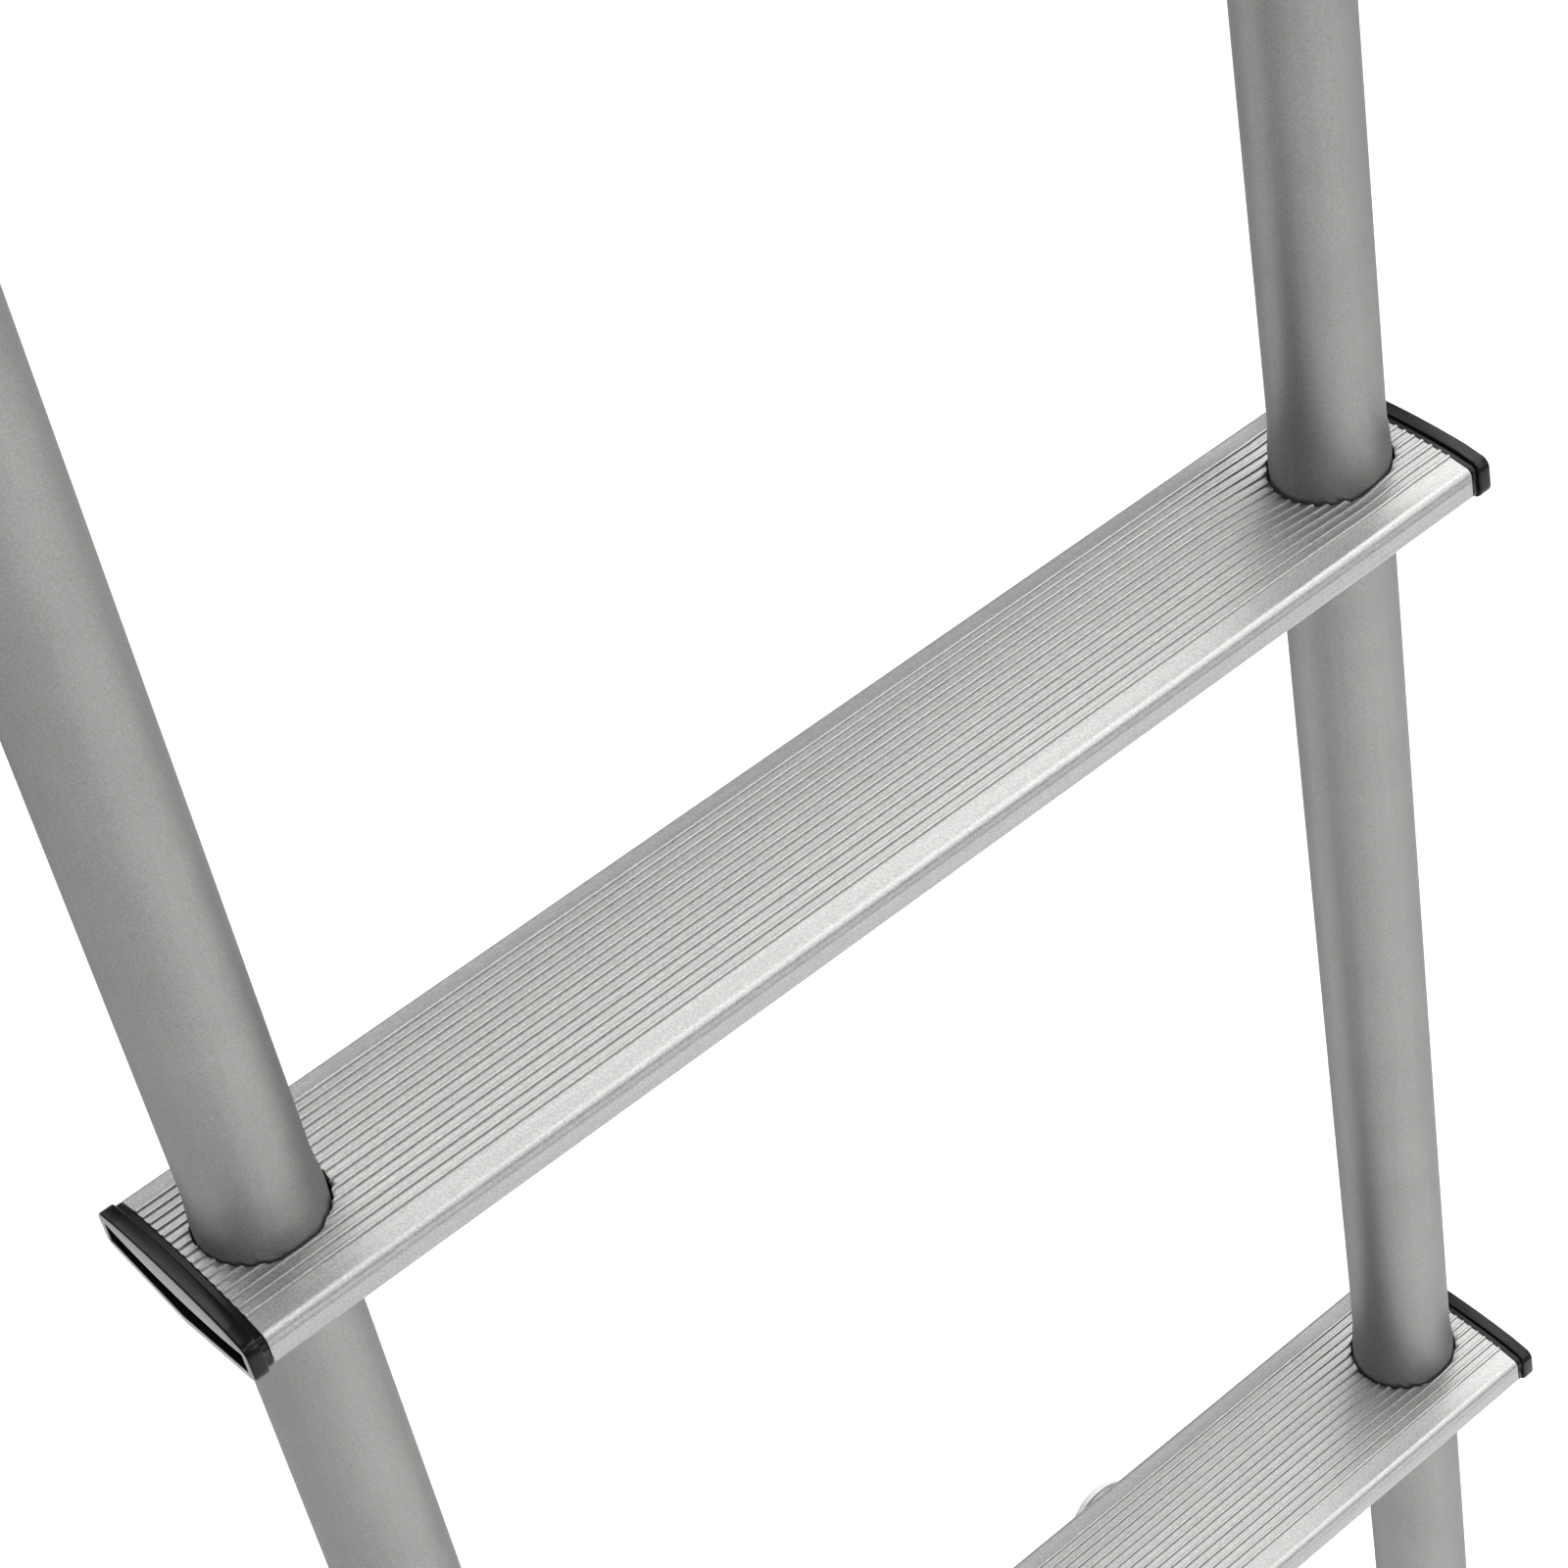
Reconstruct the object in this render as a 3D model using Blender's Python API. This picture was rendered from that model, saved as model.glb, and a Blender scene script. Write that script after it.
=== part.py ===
"""Boat boarding ladder: two bent tube rails carry four ribbed hollow treads, and the rails' top arms
swing on two hinge brackets that are screwed to the deck.

Metres, +Z up, +Y inboard, X along the treads. The origin is on the deck, midway between the brackets
and straight under the hinge axis. The ladder hangs outboard, at -Y.
"""

from math import acos, atan, cos, pi, radians, sin, sqrt

import bmesh
import bpy
from mathutils import Matrix, Vector

# Driving dimensions
GAP = 0.0003

RAIL_DIAMETER = 0.0254
RAIL_WALL = 0.0016
RAIL_SPACING = 0.285
BEND_RADIUS = 0.064
STANDOFF_REACH = 0.149
DECK_EDGE_INSET = 0.0058
STANDOFF_DROP = 0.2145
RAIL_SIDES = 20
SMALL_SIDES = 14
BEND_STEPS = 6

SWELL = 0.0006
SWELL_MARGIN = 0.003
SWELL_TAPER = 0.006

TREAD_COUNT = 4
TREAD_PITCH = 0.3048
FIRST_STEP_DROP = 0.3048
TREAD_END_MARGIN = 0.00885
TREAD_DEPTH = 0.051
TREAD_SIDE = 0.008
TREAD_CROWN = 0.0017
TREAD_BELLY = 0.0033
TREAD_WALL = 0.0016
TREAD_CORNER = 0.0018
TREAD_TILT = radians(1.7)

RIB_PITCH = 0.00255
RIB_BORDER = 0.0063
RIB_HEIGHT = 0.0005
RIB_BASE = 0.0010
RIB_TOP = 0.0004

CAP_PROUD = 0.00075
CAP_RIM = 0.0034
CAP_SHOULDER = 0.0013
CAP_SPIGOT = 0.0022
CAP_FLOOR = 0.0012
CAP_EDGE = 0.0022
CAP_POCKET_DROP = 0.0005
CAP_POCKET_DIP = 0.0036
PRONG_LENGTH = 0.014
PRONG_CLEARANCE = 0.0015
PRONG_WALL_ROOM = 0.0031

BOLT_DIAMETER = 0.008
BOLT_HEAD_LEDGE = 0.0025
BOLT_HEAD_HEIGHT = 0.0053
BOLT_TAIL = 0.002
NUT_HEIGHT = 0.008
NUT_COLLAR = 0.0025
SLEEVE_WALL = 0.0018
SLEEVE_PROUD = 0.0008
SPACER_THICKNESS = 0.001
SPACER_LEDGE = 0.006
WASHER_THICKNESS = 0.0012
WASHER_LEDGE = 0.00425

PLATE_THICKNESS = 0.003
PLATE_DEPTH = 0.060
PLATE_WING = 0.019
PLATE_CORNER = 0.006
EAR_THICKNESS = 0.003
EAR_FOOT = 0.044
EAR_LEDGE = 0.009
SWING_CLEARANCE = 0.001

SCREW_DIAMETER = 0.005
SCREW_HEAD_DIAMETER = 0.010
SCREW_HEAD_HEIGHT = 0.0026
SCREW_LENGTH = 0.030
SCREW_EDGE = 0.009
SLOT_WIDTH = 0.0012
SLOT_LENGTH = 0.0056
SLOT_DEPTH = 0.0014

PLUG_WALL = 0.0022
PLUG_INSERT = 0.014
PLUG_FLANGE = 0.0014
FOOT_DOME = 0.0035
ARM_PLUG_INSERT = 0.008
ARM_END_WALL = 0.002

# Sizes that follow from the driving ones
RAIL_RADIUS = RAIL_DIAMETER / 2
BORE_RADIUS = RAIL_RADIUS - RAIL_WALL
ARM_REACH = STANDOFF_REACH + GAP + PLUG_FLANGE + FOOT_DOME + DECK_EDGE_INSET + PLATE_DEPTH / 2
BOLT_RADIUS = BOLT_DIAMETER / 2
BOLT_HOLE = BOLT_RADIUS + GAP
BOLT_HEAD_FLATS = BOLT_DIAMETER + 2 * BOLT_HEAD_LEDGE
SPACER_RADIUS = BOLT_RADIUS + SPACER_LEDGE
WASHER_RADIUS = BOLT_RADIUS + WASHER_LEDGE
EAR_RADIUS = BOLT_RADIUS + EAR_LEDGE
SLEEVE_RADIUS = BOLT_HOLE + SLEEVE_WALL
SLEEVE_HALF = RAIL_RADIUS + SLEEVE_PROUD
ARM_END = SLEEVE_RADIUS + 2 * GAP + ARM_PLUG_INSERT + ARM_END_WALL
SWING_RADIUS = sqrt((ARM_END + GAP + PLUG_FLANGE) ** 2 + RAIL_RADIUS**2)
PIVOT_HEIGHT = PLATE_THICKNESS + SWING_RADIUS + SWING_CLEARANCE
EAR_INNER = SLEEVE_HALF + SPACER_THICKNESS + 2 * GAP
EAR_OUTER = EAR_INNER + EAR_THICKNESS
BOLT_SEAT = EAR_OUTER + WASHER_THICKNESS + 2 * GAP
PLATE_WIDTH = 2 * (EAR_OUTER + PLATE_WING)
TREAD_OVERALL = RAIL_SPACING + RAIL_DIAMETER + 2 * TREAD_END_MARGIN
TREAD_HALF = TREAD_OVERALL / 2 - CAP_RIM - CAP_SHOULDER - GAP
CROWN_RADIUS = ((TREAD_DEPTH / 2) ** 2 + TREAD_CROWN**2) / (2 * TREAD_CROWN)
BELLY_SLOPE = atan(TREAD_BELLY / (TREAD_DEPTH / 2))
RIB_COUNT = int((TREAD_DEPTH - 2 * RIB_BORDER) / RIB_PITCH) + 1
PRONG_NEAR = RAIL_RADIUS + SWELL + PRONG_CLEARANCE
PRONG_FAR = TREAD_DEPTH / 2 - TREAD_WALL - PRONG_WALL_ROOM
PRONG_HEIGHT = TREAD_SIDE / 2
TREAD_LEVELS = [-FIRST_STEP_DROP - i * TREAD_PITCH for i in range(TREAD_COUNT)]
FOOT_LEVEL = TREAD_LEVELS[-1] - STANDOFF_DROP
SIDES = {"left": -1, "right": 1}


def make_material(name, color, roughness, metallic):
    made = bpy.data.materials.new(name)
    made.use_nodes = True
    shader = made.node_tree.nodes["Principled BSDF"]
    shader.inputs["Base Color"].default_value = (*color, 1.0)
    shader.inputs["Roughness"].default_value = roughness
    shader.inputs["Metallic"].default_value = metallic
    made.diffuse_color = (*color, 1.0)
    return made


def satin_aluminium_tube():
    return make_material("satin_aluminium_tube", (0.52, 0.515, 0.505), 0.42, 1.0)


def satin_aluminium_tread():
    return make_material("satin_aluminium_tread", (0.72, 0.715, 0.705), 0.38, 1.0)


def gloss_black_plastic():
    return make_material("gloss_black_plastic", (0.012, 0.012, 0.013), 0.22, 0.0)


def grey_nylon():
    return make_material("grey_nylon", (0.62, 0.62, 0.61), 0.45, 0.0)


def black_nylon():
    return make_material("black_nylon", (0.02, 0.02, 0.02), 0.5, 0.0)


def stainless_plate():
    return make_material("stainless_plate", (0.60, 0.59, 0.57), 0.30, 1.0)


def stainless_fastener():
    return make_material("stainless_fastener", (0.66, 0.65, 0.63), 0.25, 1.0)


def clear_scene():
    for old in list(bpy.data.objects):
        bpy.data.objects.remove(old)


def add_object(name, bm, material, location, parent=None):
    """Turns the bmesh into an object at a world location, keeping that place under its parent."""
    bmesh.ops.recalc_face_normals(bm, faces=bm.faces)
    mesh = bpy.data.meshes.new(name)
    bm.to_mesh(mesh)
    bm.free()
    mesh.shade_smooth()
    mesh.set_sharp_from_angle(angle=radians(35))
    if material:
        mesh.materials.append(material)
    made = bpy.data.objects.new(name, mesh)
    bpy.context.scene.collection.objects.link(made)
    made.parent = parent
    made.location = Vector(location) - (parent.location if parent else Vector())
    return made


def add_tool(name, bm, location, parent=None):
    """A guide body for a Boolean, left out of the built object."""
    made = add_object(name, bm, None, location, parent)
    made.hide_render = True
    made.display_type = "WIRE"
    return made


def combine(target, tool, operation):
    modifier = target.modifiers.new(tool.name, "BOOLEAN")
    modifier.operation = operation
    modifier.solver = "EXACT"
    modifier.object = tool


def loft(rings, closed=False):
    """Skins a row of rings that have the same number of points: flat ends, or closed into a loop."""
    bm = bmesh.new()
    loops = [[bm.verts.new(point) for point in ring] for ring in rings]
    pairs = list(zip(loops, loops[1:]))
    if closed:
        pairs.append((loops[-1], loops[0]))
    else:
        bm.faces.new(loops[0])
        bm.faces.new(loops[-1])
    for first, second in pairs:
        for i in range(len(first)):
            j = (i + 1) % len(first)
            bm.faces.new((first[i], first[j], second[j], second[i]))
    return bm


def circle(radius, sides, turn=0.0):
    angles = [turn + 2 * pi * i / sides for i in range(sides)]
    return [(radius * cos(angle), radius * sin(angle)) for angle in angles]


def turned(profile, sides, axis, closed=False):
    """A turned body: profile is a row of (distance along the axis, radius)."""
    rings = []
    for along, radius in profile:
        if axis == "X":
            rings.append([Vector((along, u, v)) for u, v in circle(radius, sides)])
        elif axis == "Y":
            rings.append([Vector((u, along, v)) for u, v in circle(radius, sides)])
        else:
            rings.append([Vector((u, v, along)) for u, v in circle(radius, sides)])
    return loft(rings, closed)


def ring_washer(inner, outer, start, end, sides, axis):
    profile = [(start, inner), (start, outer), (end, outer), (end, inner)]
    return turned(profile, sides, axis, closed=True)


# Rails: each is one tube, straight down the treads, bent back to the deck at its top and to the hull
# at its foot, and swollen slightly where it is expanded into each tread.


def rail_ring(centre_y, centre_z, heading, radius):
    """A ring across the tube; heading is the tube's direction in the YZ plane."""
    across = Vector((0, -sin(heading), cos(heading)))
    middle = Vector((0, centre_y, centre_z))
    return [middle + Vector((u, 0, 0)) + across * v for u, v in circle(radius, RAIL_SIDES)]


def swell_stations(level):
    """Heights and extra radius from above one tread to below it."""
    top = level + TREAD_CROWN + RIB_HEIGHT + SWELL_MARGIN
    bottom = level - TREAD_SIDE - TREAD_BELLY - SWELL_MARGIN
    return [(top + SWELL_TAPER, 0.0), (top, SWELL), (bottom, SWELL), (bottom - SWELL_TAPER, 0.0)]


def rail_centreline(swollen):
    """(y, z, heading, extra radius) from the arm's end over the deck to the stand-off's end."""
    rail_y = -ARM_REACH
    turns = [pi / 2 * i / BEND_STEPS for i in range(BEND_STEPS + 1)]
    path = [(ARM_END, PIVOT_HEIGHT, pi, 0.0)]
    for turn in turns:
        y = rail_y + BEND_RADIUS - BEND_RADIUS * sin(turn)
        z = PIVOT_HEIGHT - BEND_RADIUS + BEND_RADIUS * cos(turn)
        path.append((y, z, pi + turn, 0.0))
    if swollen:
        for level in TREAD_LEVELS:
            path += [(rail_y, z, 1.5 * pi, extra) for z, extra in swell_stations(level)]
    for turn in turns:
        y = rail_y + BEND_RADIUS - BEND_RADIUS * cos(turn)
        z = FOOT_LEVEL + BEND_RADIUS - BEND_RADIUS * sin(turn)
        path.append((y, z, 1.5 * pi + turn, 0.0))
    path.append((rail_y + STANDOFF_REACH, FOOT_LEVEL, 2 * pi, 0.0))
    return path


def rail_rings(radius, swollen):
    """The rings of the tube's outer or inner surface, measured from the hinge axis."""
    rings = []
    for y, z, heading, extra in rail_centreline(swollen):
        rings.append(rail_ring(y, z - PIVOT_HEIGHT, heading, radius + extra))
    return rings


def build_rail(side, material, pivot):
    outer = rail_rings(RAIL_RADIUS, True)
    inner = rail_rings(BORE_RADIUS, False)
    tube = loft(outer + inner[::-1], closed=True)
    rail = add_object(f"rail_{side}", tube, material, hinge_spot(side), pivot)
    drill_length = RAIL_DIAMETER
    drill_radius = SLEEVE_RADIUS + GAP
    drill = turned([(-drill_length, drill_radius), (drill_length, drill_radius)], SMALL_SIDES, "X")
    combine(rail, add_tool(f"sleeve_drill_{side}", drill, hinge_spot(side), pivot), "DIFFERENCE")
    return rail


# Treads: a hollow extrusion with a crowned, ribbed top and a shallow V below, tilted a little.


def corner_arc(corner, before, after, radius, steps=2):
    """Points of the arc that rounds a corner between two neighbouring points."""
    to_before = (before - corner).normalized()
    to_after = (after - corner).normalized()
    half = acos(max(-1.0, min(1.0, to_before.dot(to_after)))) / 2
    reach = radius * cos(half) / sin(half)
    centre = corner + (to_before + to_after).normalized() * (radius / sin(half))
    start = corner + to_before * reach - centre
    end = corner + to_after * reach - centre
    return [centre + start.lerp(end, i / steps).normalized() * radius for i in range(steps + 1)]


def section_corners(inset, drop=0.0):
    """The tread section's five corners, as (y, z) seen from the right end, moved in by inset."""
    half = TREAD_DEPTH / 2 - inset
    top = TREAD_CROWN - CROWN_RADIUS + sqrt((CROWN_RADIUS - inset) ** 2 - half**2) - drop
    lift = inset / cos(BELLY_SLOPE)
    side = -TREAD_SIDE + lift - TREAD_BELLY * inset / (TREAD_DEPTH / 2)
    belly = -TREAD_SIDE - TREAD_BELLY + lift
    return [Vector(p) for p in ((-half, top), (-half, side), (0, belly), (half, side), (half, top))]


def crown_height(y, inset, drop=0.0, dip=0.0):
    half = TREAD_DEPTH / 2 - inset
    arc = TREAD_CROWN - CROWN_RADIUS + sqrt((CROWN_RADIUS - inset) ** 2 - y**2)
    return arc - drop - dip * (1 - (y / half) ** 2)


def section_outline(inset, drop=0.0, dip=0.0, crown_points=()):
    """The closed outline: down the front, under the belly, up the back and over the crown."""
    corners = section_corners(inset, drop)
    radius = max(TREAD_CORNER - inset, 0.0005)
    outline = []
    for i in (0, 1, 3, 4):
        outline += corner_arc(corners[i], corners[i - 1], corners[(i + 1) % 5], radius)
        if i == 1:
            outline.append(corners[2])
    points = crown_points or [(y, crown_height(y, inset, drop, dip)) for y in plain_crown(inset)]
    return [(p[0], p[1]) for p in outline] + list(points)


def plain_crown(inset, steps=8):
    """Where the points of a plain crown lie, from the back corner to the front one."""
    reach = TREAD_DEPTH / 2 - inset - TREAD_CORNER
    return [reach * cos(pi * i / steps) for i in range(1, steps)]


def ribbed_crown():
    """The crown with its ribs, from the back to the front."""
    points = []
    for i in range(RIB_COUNT):
        middle = ((RIB_COUNT - 1) / 2 - i) * RIB_PITCH
        for y, lift in (
            (middle + RIB_BASE / 2, 0.0),
            (middle + RIB_TOP / 2, RIB_HEIGHT),
            (middle - RIB_TOP / 2, RIB_HEIGHT),
            (middle - RIB_BASE / 2, 0.0),
        ):
            points.append((y, crown_height(y, 0.0) + lift))
    return points


def tilted(x, y, z):
    """A point of the tread's section, with its back edge lowered by the tilt."""
    return Vector((x, y * cos(TREAD_TILT) + z * sin(TREAD_TILT), z * cos(TREAD_TILT) - y * sin(TREAD_TILT)))


def extruded_section(outer, inner, half_length):
    """A hollow bar from two outlines."""
    bm = bmesh.new()
    edges = []
    for outline in (outer, inner):
        ring = [bm.verts.new(tilted(-half_length, y, z)) for y, z in outline]
        edges += [bm.edges.new((ring[i - 1], ring[i])) for i in range(len(ring))]
    bmesh.ops.triangle_fill(bm, use_beauty=True, edges=edges)
    extruded = bmesh.ops.extrude_face_region(bm, geom=bm.faces[:])
    moved = [item for item in extruded["geom"] if isinstance(item, bmesh.types.BMVert)]
    bmesh.ops.translate(bm, verts=moved, vec=(2 * half_length, 0, 0))
    return bm


def build_tread(number, material, pivot):
    level = TREAD_LEVELS[number - 1]
    outer = section_outline(0.0, crown_points=ribbed_crown())
    inner = section_outline(TREAD_WALL)
    place = (0, -ARM_REACH, level)
    tread = add_object(f"tread_{number}", extruded_section(outer, inner, TREAD_HALF), material, place, pivot)
    hole = RAIL_RADIUS + SWELL + GAP
    reach = TREAD_SIDE + TREAD_BELLY + TREAD_CROWN + RIB_HEIGHT
    for side, sign in SIDES.items():
        punch = turned([(-reach, hole), (reach, hole)], RAIL_SIDES, "Z")
        spot = (sign * RAIL_SPACING / 2, -ARM_REACH, level)
        combine(tread, add_tool(f"hole_punch_{number}_{side}", punch, spot, pivot), "DIFFERENCE")
    return tread


# Tread caps: a rim that stands proud of the tread, a shoulder, a short spigot and two prongs that pass
# in front of and behind the rail. The rim's face has a moulded pocket.


def cap_rings(sign):
    shoulder = CAP_RIM + CAP_SHOULDER
    spigot = shoulder + CAP_SPIGOT
    fit = TREAD_WALL + GAP
    pocket = dict(inset=CAP_EDGE - CAP_PROUD, drop=CAP_POCKET_DROP, dip=CAP_POCKET_DIP)
    stations = [
        (shoulder - CAP_FLOOR, pocket),
        (0.0, pocket),
        (0.0, dict(inset=-CAP_PROUD)),
        (CAP_RIM, dict(inset=-CAP_PROUD)),
        (CAP_RIM, dict(inset=0.0)),
        (shoulder, dict(inset=0.0)),
        (shoulder, dict(inset=fit)),
        (spigot, dict(inset=fit)),
    ]
    rings = []
    for depth, shape in stations:
        x = sign * (TREAD_OVERALL / 2 - depth)
        rings.append([tilted(x, y, z) for y, z in section_outline(**shape)])
    return rings


def box_between(low, high):
    bm = bmesh.new()
    bmesh.ops.create_cube(bm, size=1.0)
    size = [b - a for a, b in zip(low, high)]
    middle = [(a + b) / 2 for a, b in zip(low, high)]
    bmesh.ops.transform(bm, matrix=Matrix.Translation(middle) @ Matrix.Diagonal((*size, 1)), verts=bm.verts)
    return bm


def prong(sign, front):
    """One prong, rooted in the spigot and clear of the rail."""
    root = TREAD_OVERALL / 2 - CAP_RIM - CAP_SHOULDER - CAP_SPIGOT / 2
    along = sorted((sign * root, sign * (root - PRONG_LENGTH)))
    across = sorted((front * PRONG_NEAR, front * PRONG_FAR))
    middle = -TREAD_SIDE / 2
    low = (along[0], across[0], middle - PRONG_HEIGHT / 2)
    high = (along[1], across[1], middle + PRONG_HEIGHT / 2)
    bm = box_between(low, high)
    for vert in bm.verts:
        vert.co = tilted(*vert.co)
    return bm


def build_cap(number, side, material, pivot):
    sign = SIDES[side]
    place = (0, -ARM_REACH, TREAD_LEVELS[number - 1])
    cap = add_object(f"tread_cap_{number}_{side}", loft(cap_rings(sign)), material, place, pivot)
    for name, front in (("front", -1), ("back", 1)):
        tool = add_tool(f"prong_{number}_{side}_{name}", prong(sign, front), place, pivot)
        combine(cap, tool, "UNION")
    return cap


# Tube plugs: moulded inserts that close the stand-off's foot and the arm's end.


def plug_profile(insert, cover):
    """(distance along the plug, radius): a cup inside the tube, then the cover over the tube's end."""
    grip = BORE_RADIUS - GAP
    return [
        (-PLUG_FLANGE, grip - PLUG_WALL),
        (-insert, grip - PLUG_WALL),
        (-insert, grip),
        (GAP, grip),
        (GAP, RAIL_RADIUS),
        (GAP + PLUG_FLANGE, RAIL_RADIUS),
        *cover,
    ]


def build_foot_plug(side, material, pivot):
    start = GAP + PLUG_FLANGE
    steps = 3
    angles = [pi / 2 * i / steps for i in range(1, steps)]
    dome = [(start + FOOT_DOME * sin(a), RAIL_RADIUS * cos(a)) for a in angles]
    place = (SIDES[side] * RAIL_SPACING / 2, STANDOFF_REACH - ARM_REACH, FOOT_LEVEL)
    plug = turned(plug_profile(PLUG_INSERT, dome), RAIL_SIDES, "Y")
    return add_object(f"foot_plug_{side}", plug, material, place, pivot)


def build_arm_plug(side, material, pivot):
    place = (SIDES[side] * RAIL_SPACING / 2, ARM_END, PIVOT_HEIGHT)
    plug = turned(plug_profile(ARM_PLUG_INSERT, []), RAIL_SIDES, "Y")
    return add_object(f"arm_plug_{side}", plug, material, place, pivot)


# Hinge: the sleeve through the arm turns on the pivot bolt, between two spacers and the bracket's ears.


def hinge_spot(side):
    return (SIDES[side] * RAIL_SPACING / 2, 0, PIVOT_HEIGHT)


def build_sleeve(side, material, pivot):
    sleeve = ring_washer(BOLT_HOLE, SLEEVE_RADIUS, -SLEEVE_HALF, SLEEVE_HALF, SMALL_SIDES, "X")
    return add_object(f"pivot_sleeve_{side}", sleeve, material, hinge_spot(side), pivot)


def build_spacer(side, position, sign, material):
    near = SLEEVE_HALF + GAP
    spacer = ring_washer(
        BOLT_HOLE, SPACER_RADIUS, sign * near, sign * (near + SPACER_THICKNESS), SMALL_SIDES, "X"
    )
    return add_object(f"spacer_{side}_{position}", spacer, material, hinge_spot(side))


def build_washer(side, position, sign, material):
    near = EAR_OUTER + GAP
    washer = ring_washer(
        BOLT_HOLE, WASHER_RADIUS, sign * near, sign * (near + WASHER_THICKNESS), SMALL_SIDES, "X"
    )
    return add_object(f"washer_{side}_{position}", washer, material, hinge_spot(side))


def hexagon_bar(flats, start, end):
    radius = flats / 2 / cos(pi / 6)
    return loft([[Vector((x, u, v)) for u, v in circle(radius, 6, pi / 6)] for x in (start, end)])


def build_bolt(side, material):
    """The head is on the outer side, the thread's end sticks out of the nut on the inner side."""
    out = SIDES[side]
    head_start = out * BOLT_SEAT
    head_end = out * (BOLT_SEAT + BOLT_HEAD_HEIGHT)
    bolt = add_object(
        f"pivot_bolt_{side}", hexagon_bar(BOLT_HEAD_FLATS, head_start, head_end), material, hinge_spot(side)
    )
    tail = BOLT_SEAT + NUT_HEIGHT + BOLT_TAIL
    root = BOLT_SEAT + BOLT_HEAD_HEIGHT / 2
    shank_ends = ((out * root, BOLT_RADIUS), (-out * tail, BOLT_RADIUS))
    shank = add_tool(f"bolt_shank_{side}", turned(shank_ends, SMALL_SIDES, "X"), hinge_spot(side))
    combine(bolt, shank, "UNION")
    return bolt


def build_nut(side, material):
    """A locking nut: a hexagon with a round collar, bored for the bolt."""
    inward = -SIDES[side]
    hexagon_end = BOLT_SEAT + NUT_HEIGHT - NUT_COLLAR
    collar_end = BOLT_SEAT + NUT_HEIGHT
    collar_radius = BOLT_HEAD_FLATS / 2 - GAP
    bar = hexagon_bar(BOLT_HEAD_FLATS, inward * BOLT_SEAT, inward * hexagon_end)
    nut = add_object(f"pivot_nut_{side}", bar, material, hinge_spot(side))
    collar_ends = ((inward * (hexagon_end - NUT_COLLAR), collar_radius), (inward * collar_end, collar_radius))
    collar = turned(collar_ends, SMALL_SIDES, "X")
    combine(nut, add_tool(f"nut_collar_{side}", collar, hinge_spot(side)), "UNION")
    bore_reach = BOLT_SEAT + 2 * NUT_HEIGHT
    bore = turned([(0, BOLT_HOLE), (inward * bore_reach, BOLT_HOLE)], SMALL_SIDES, "X")
    combine(nut, add_tool(f"nut_bore_{side}", bore, hinge_spot(side)), "DIFFERENCE")
    return nut


def ear_outline():
    """One ear in the YZ plane, from inside the base plate up round the pivot."""
    foot_z = PLATE_THICKNESS / 2
    steps = 8
    start = radians(20)
    angles = [start + (pi - 2 * start) * i / steps for i in range(steps + 1)]
    crown = [(EAR_RADIUS * cos(a), PIVOT_HEIGHT + EAR_RADIUS * sin(a)) for a in angles]
    return [(-EAR_FOOT / 2, foot_z), (EAR_FOOT / 2, foot_z), *crown]


def screw_spots():
    """Screw places on one plate, from the plate's middle."""
    x = PLATE_WIDTH / 2 - SCREW_EDGE
    y = PLATE_DEPTH / 2 - SCREW_EDGE
    return [(-x, -y), (-x, y), (x, -y), (x, y)]


def build_bracket(side, material):
    signs = ((-1, -1), (1, -1), (1, 1), (-1, 1))
    corners = [Vector((x * PLATE_WIDTH / 2, y * PLATE_DEPTH / 2)) for x, y in signs]
    outline = []
    for i, corner in enumerate(corners):
        outline += corner_arc(corner, corners[i - 1], corners[(i + 1) % 4], PLATE_CORNER, steps=3)
    plate = loft([[Vector((p.x, p.y, z)) for p in outline] for z in (0, PLATE_THICKNESS)])
    place = (SIDES[side] * RAIL_SPACING / 2, 0, 0)
    bracket = add_object(f"hinge_bracket_{side}", plate, material, place)
    for position, sign in (("inner", -SIDES[side]), ("outer", SIDES[side])):
        ear = loft([[Vector((sign * x, y, z)) for y, z in ear_outline()] for x in (EAR_INNER, EAR_OUTER)])
        combine(bracket, add_tool(f"ear_{side}_{position}", ear, place), "UNION")
    reach = 2 * EAR_OUTER
    drill = turned([(-reach, BOLT_HOLE), (reach, BOLT_HOLE)], SMALL_SIDES, "X")
    combine(bracket, add_tool(f"pivot_drill_{side}", drill, hinge_spot(side)), "DIFFERENCE")
    for number, (x, y) in enumerate(screw_spots(), 1):
        sink = turned(screw_profile(GAP, PLATE_THICKNESS), SMALL_SIDES, "Z")
        spot = (place[0] + x, y, PLATE_THICKNESS)
        combine(bracket, add_tool(f"countersink_{side}_{number}", sink, spot), "DIFFERENCE")
    return bracket


def screw_profile(grow, above):
    """(height from the plate's top, radius) of the countersunk shape, grown for its clearance."""
    return [
        (above, SCREW_HEAD_DIAMETER / 2 + grow),
        (-GAP / 2, SCREW_HEAD_DIAMETER / 2 + grow),
        (-SCREW_HEAD_HEIGHT, SCREW_DIAMETER / 2 + grow),
        (-2 * PLATE_THICKNESS, SCREW_DIAMETER / 2 + grow),
    ]


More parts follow.
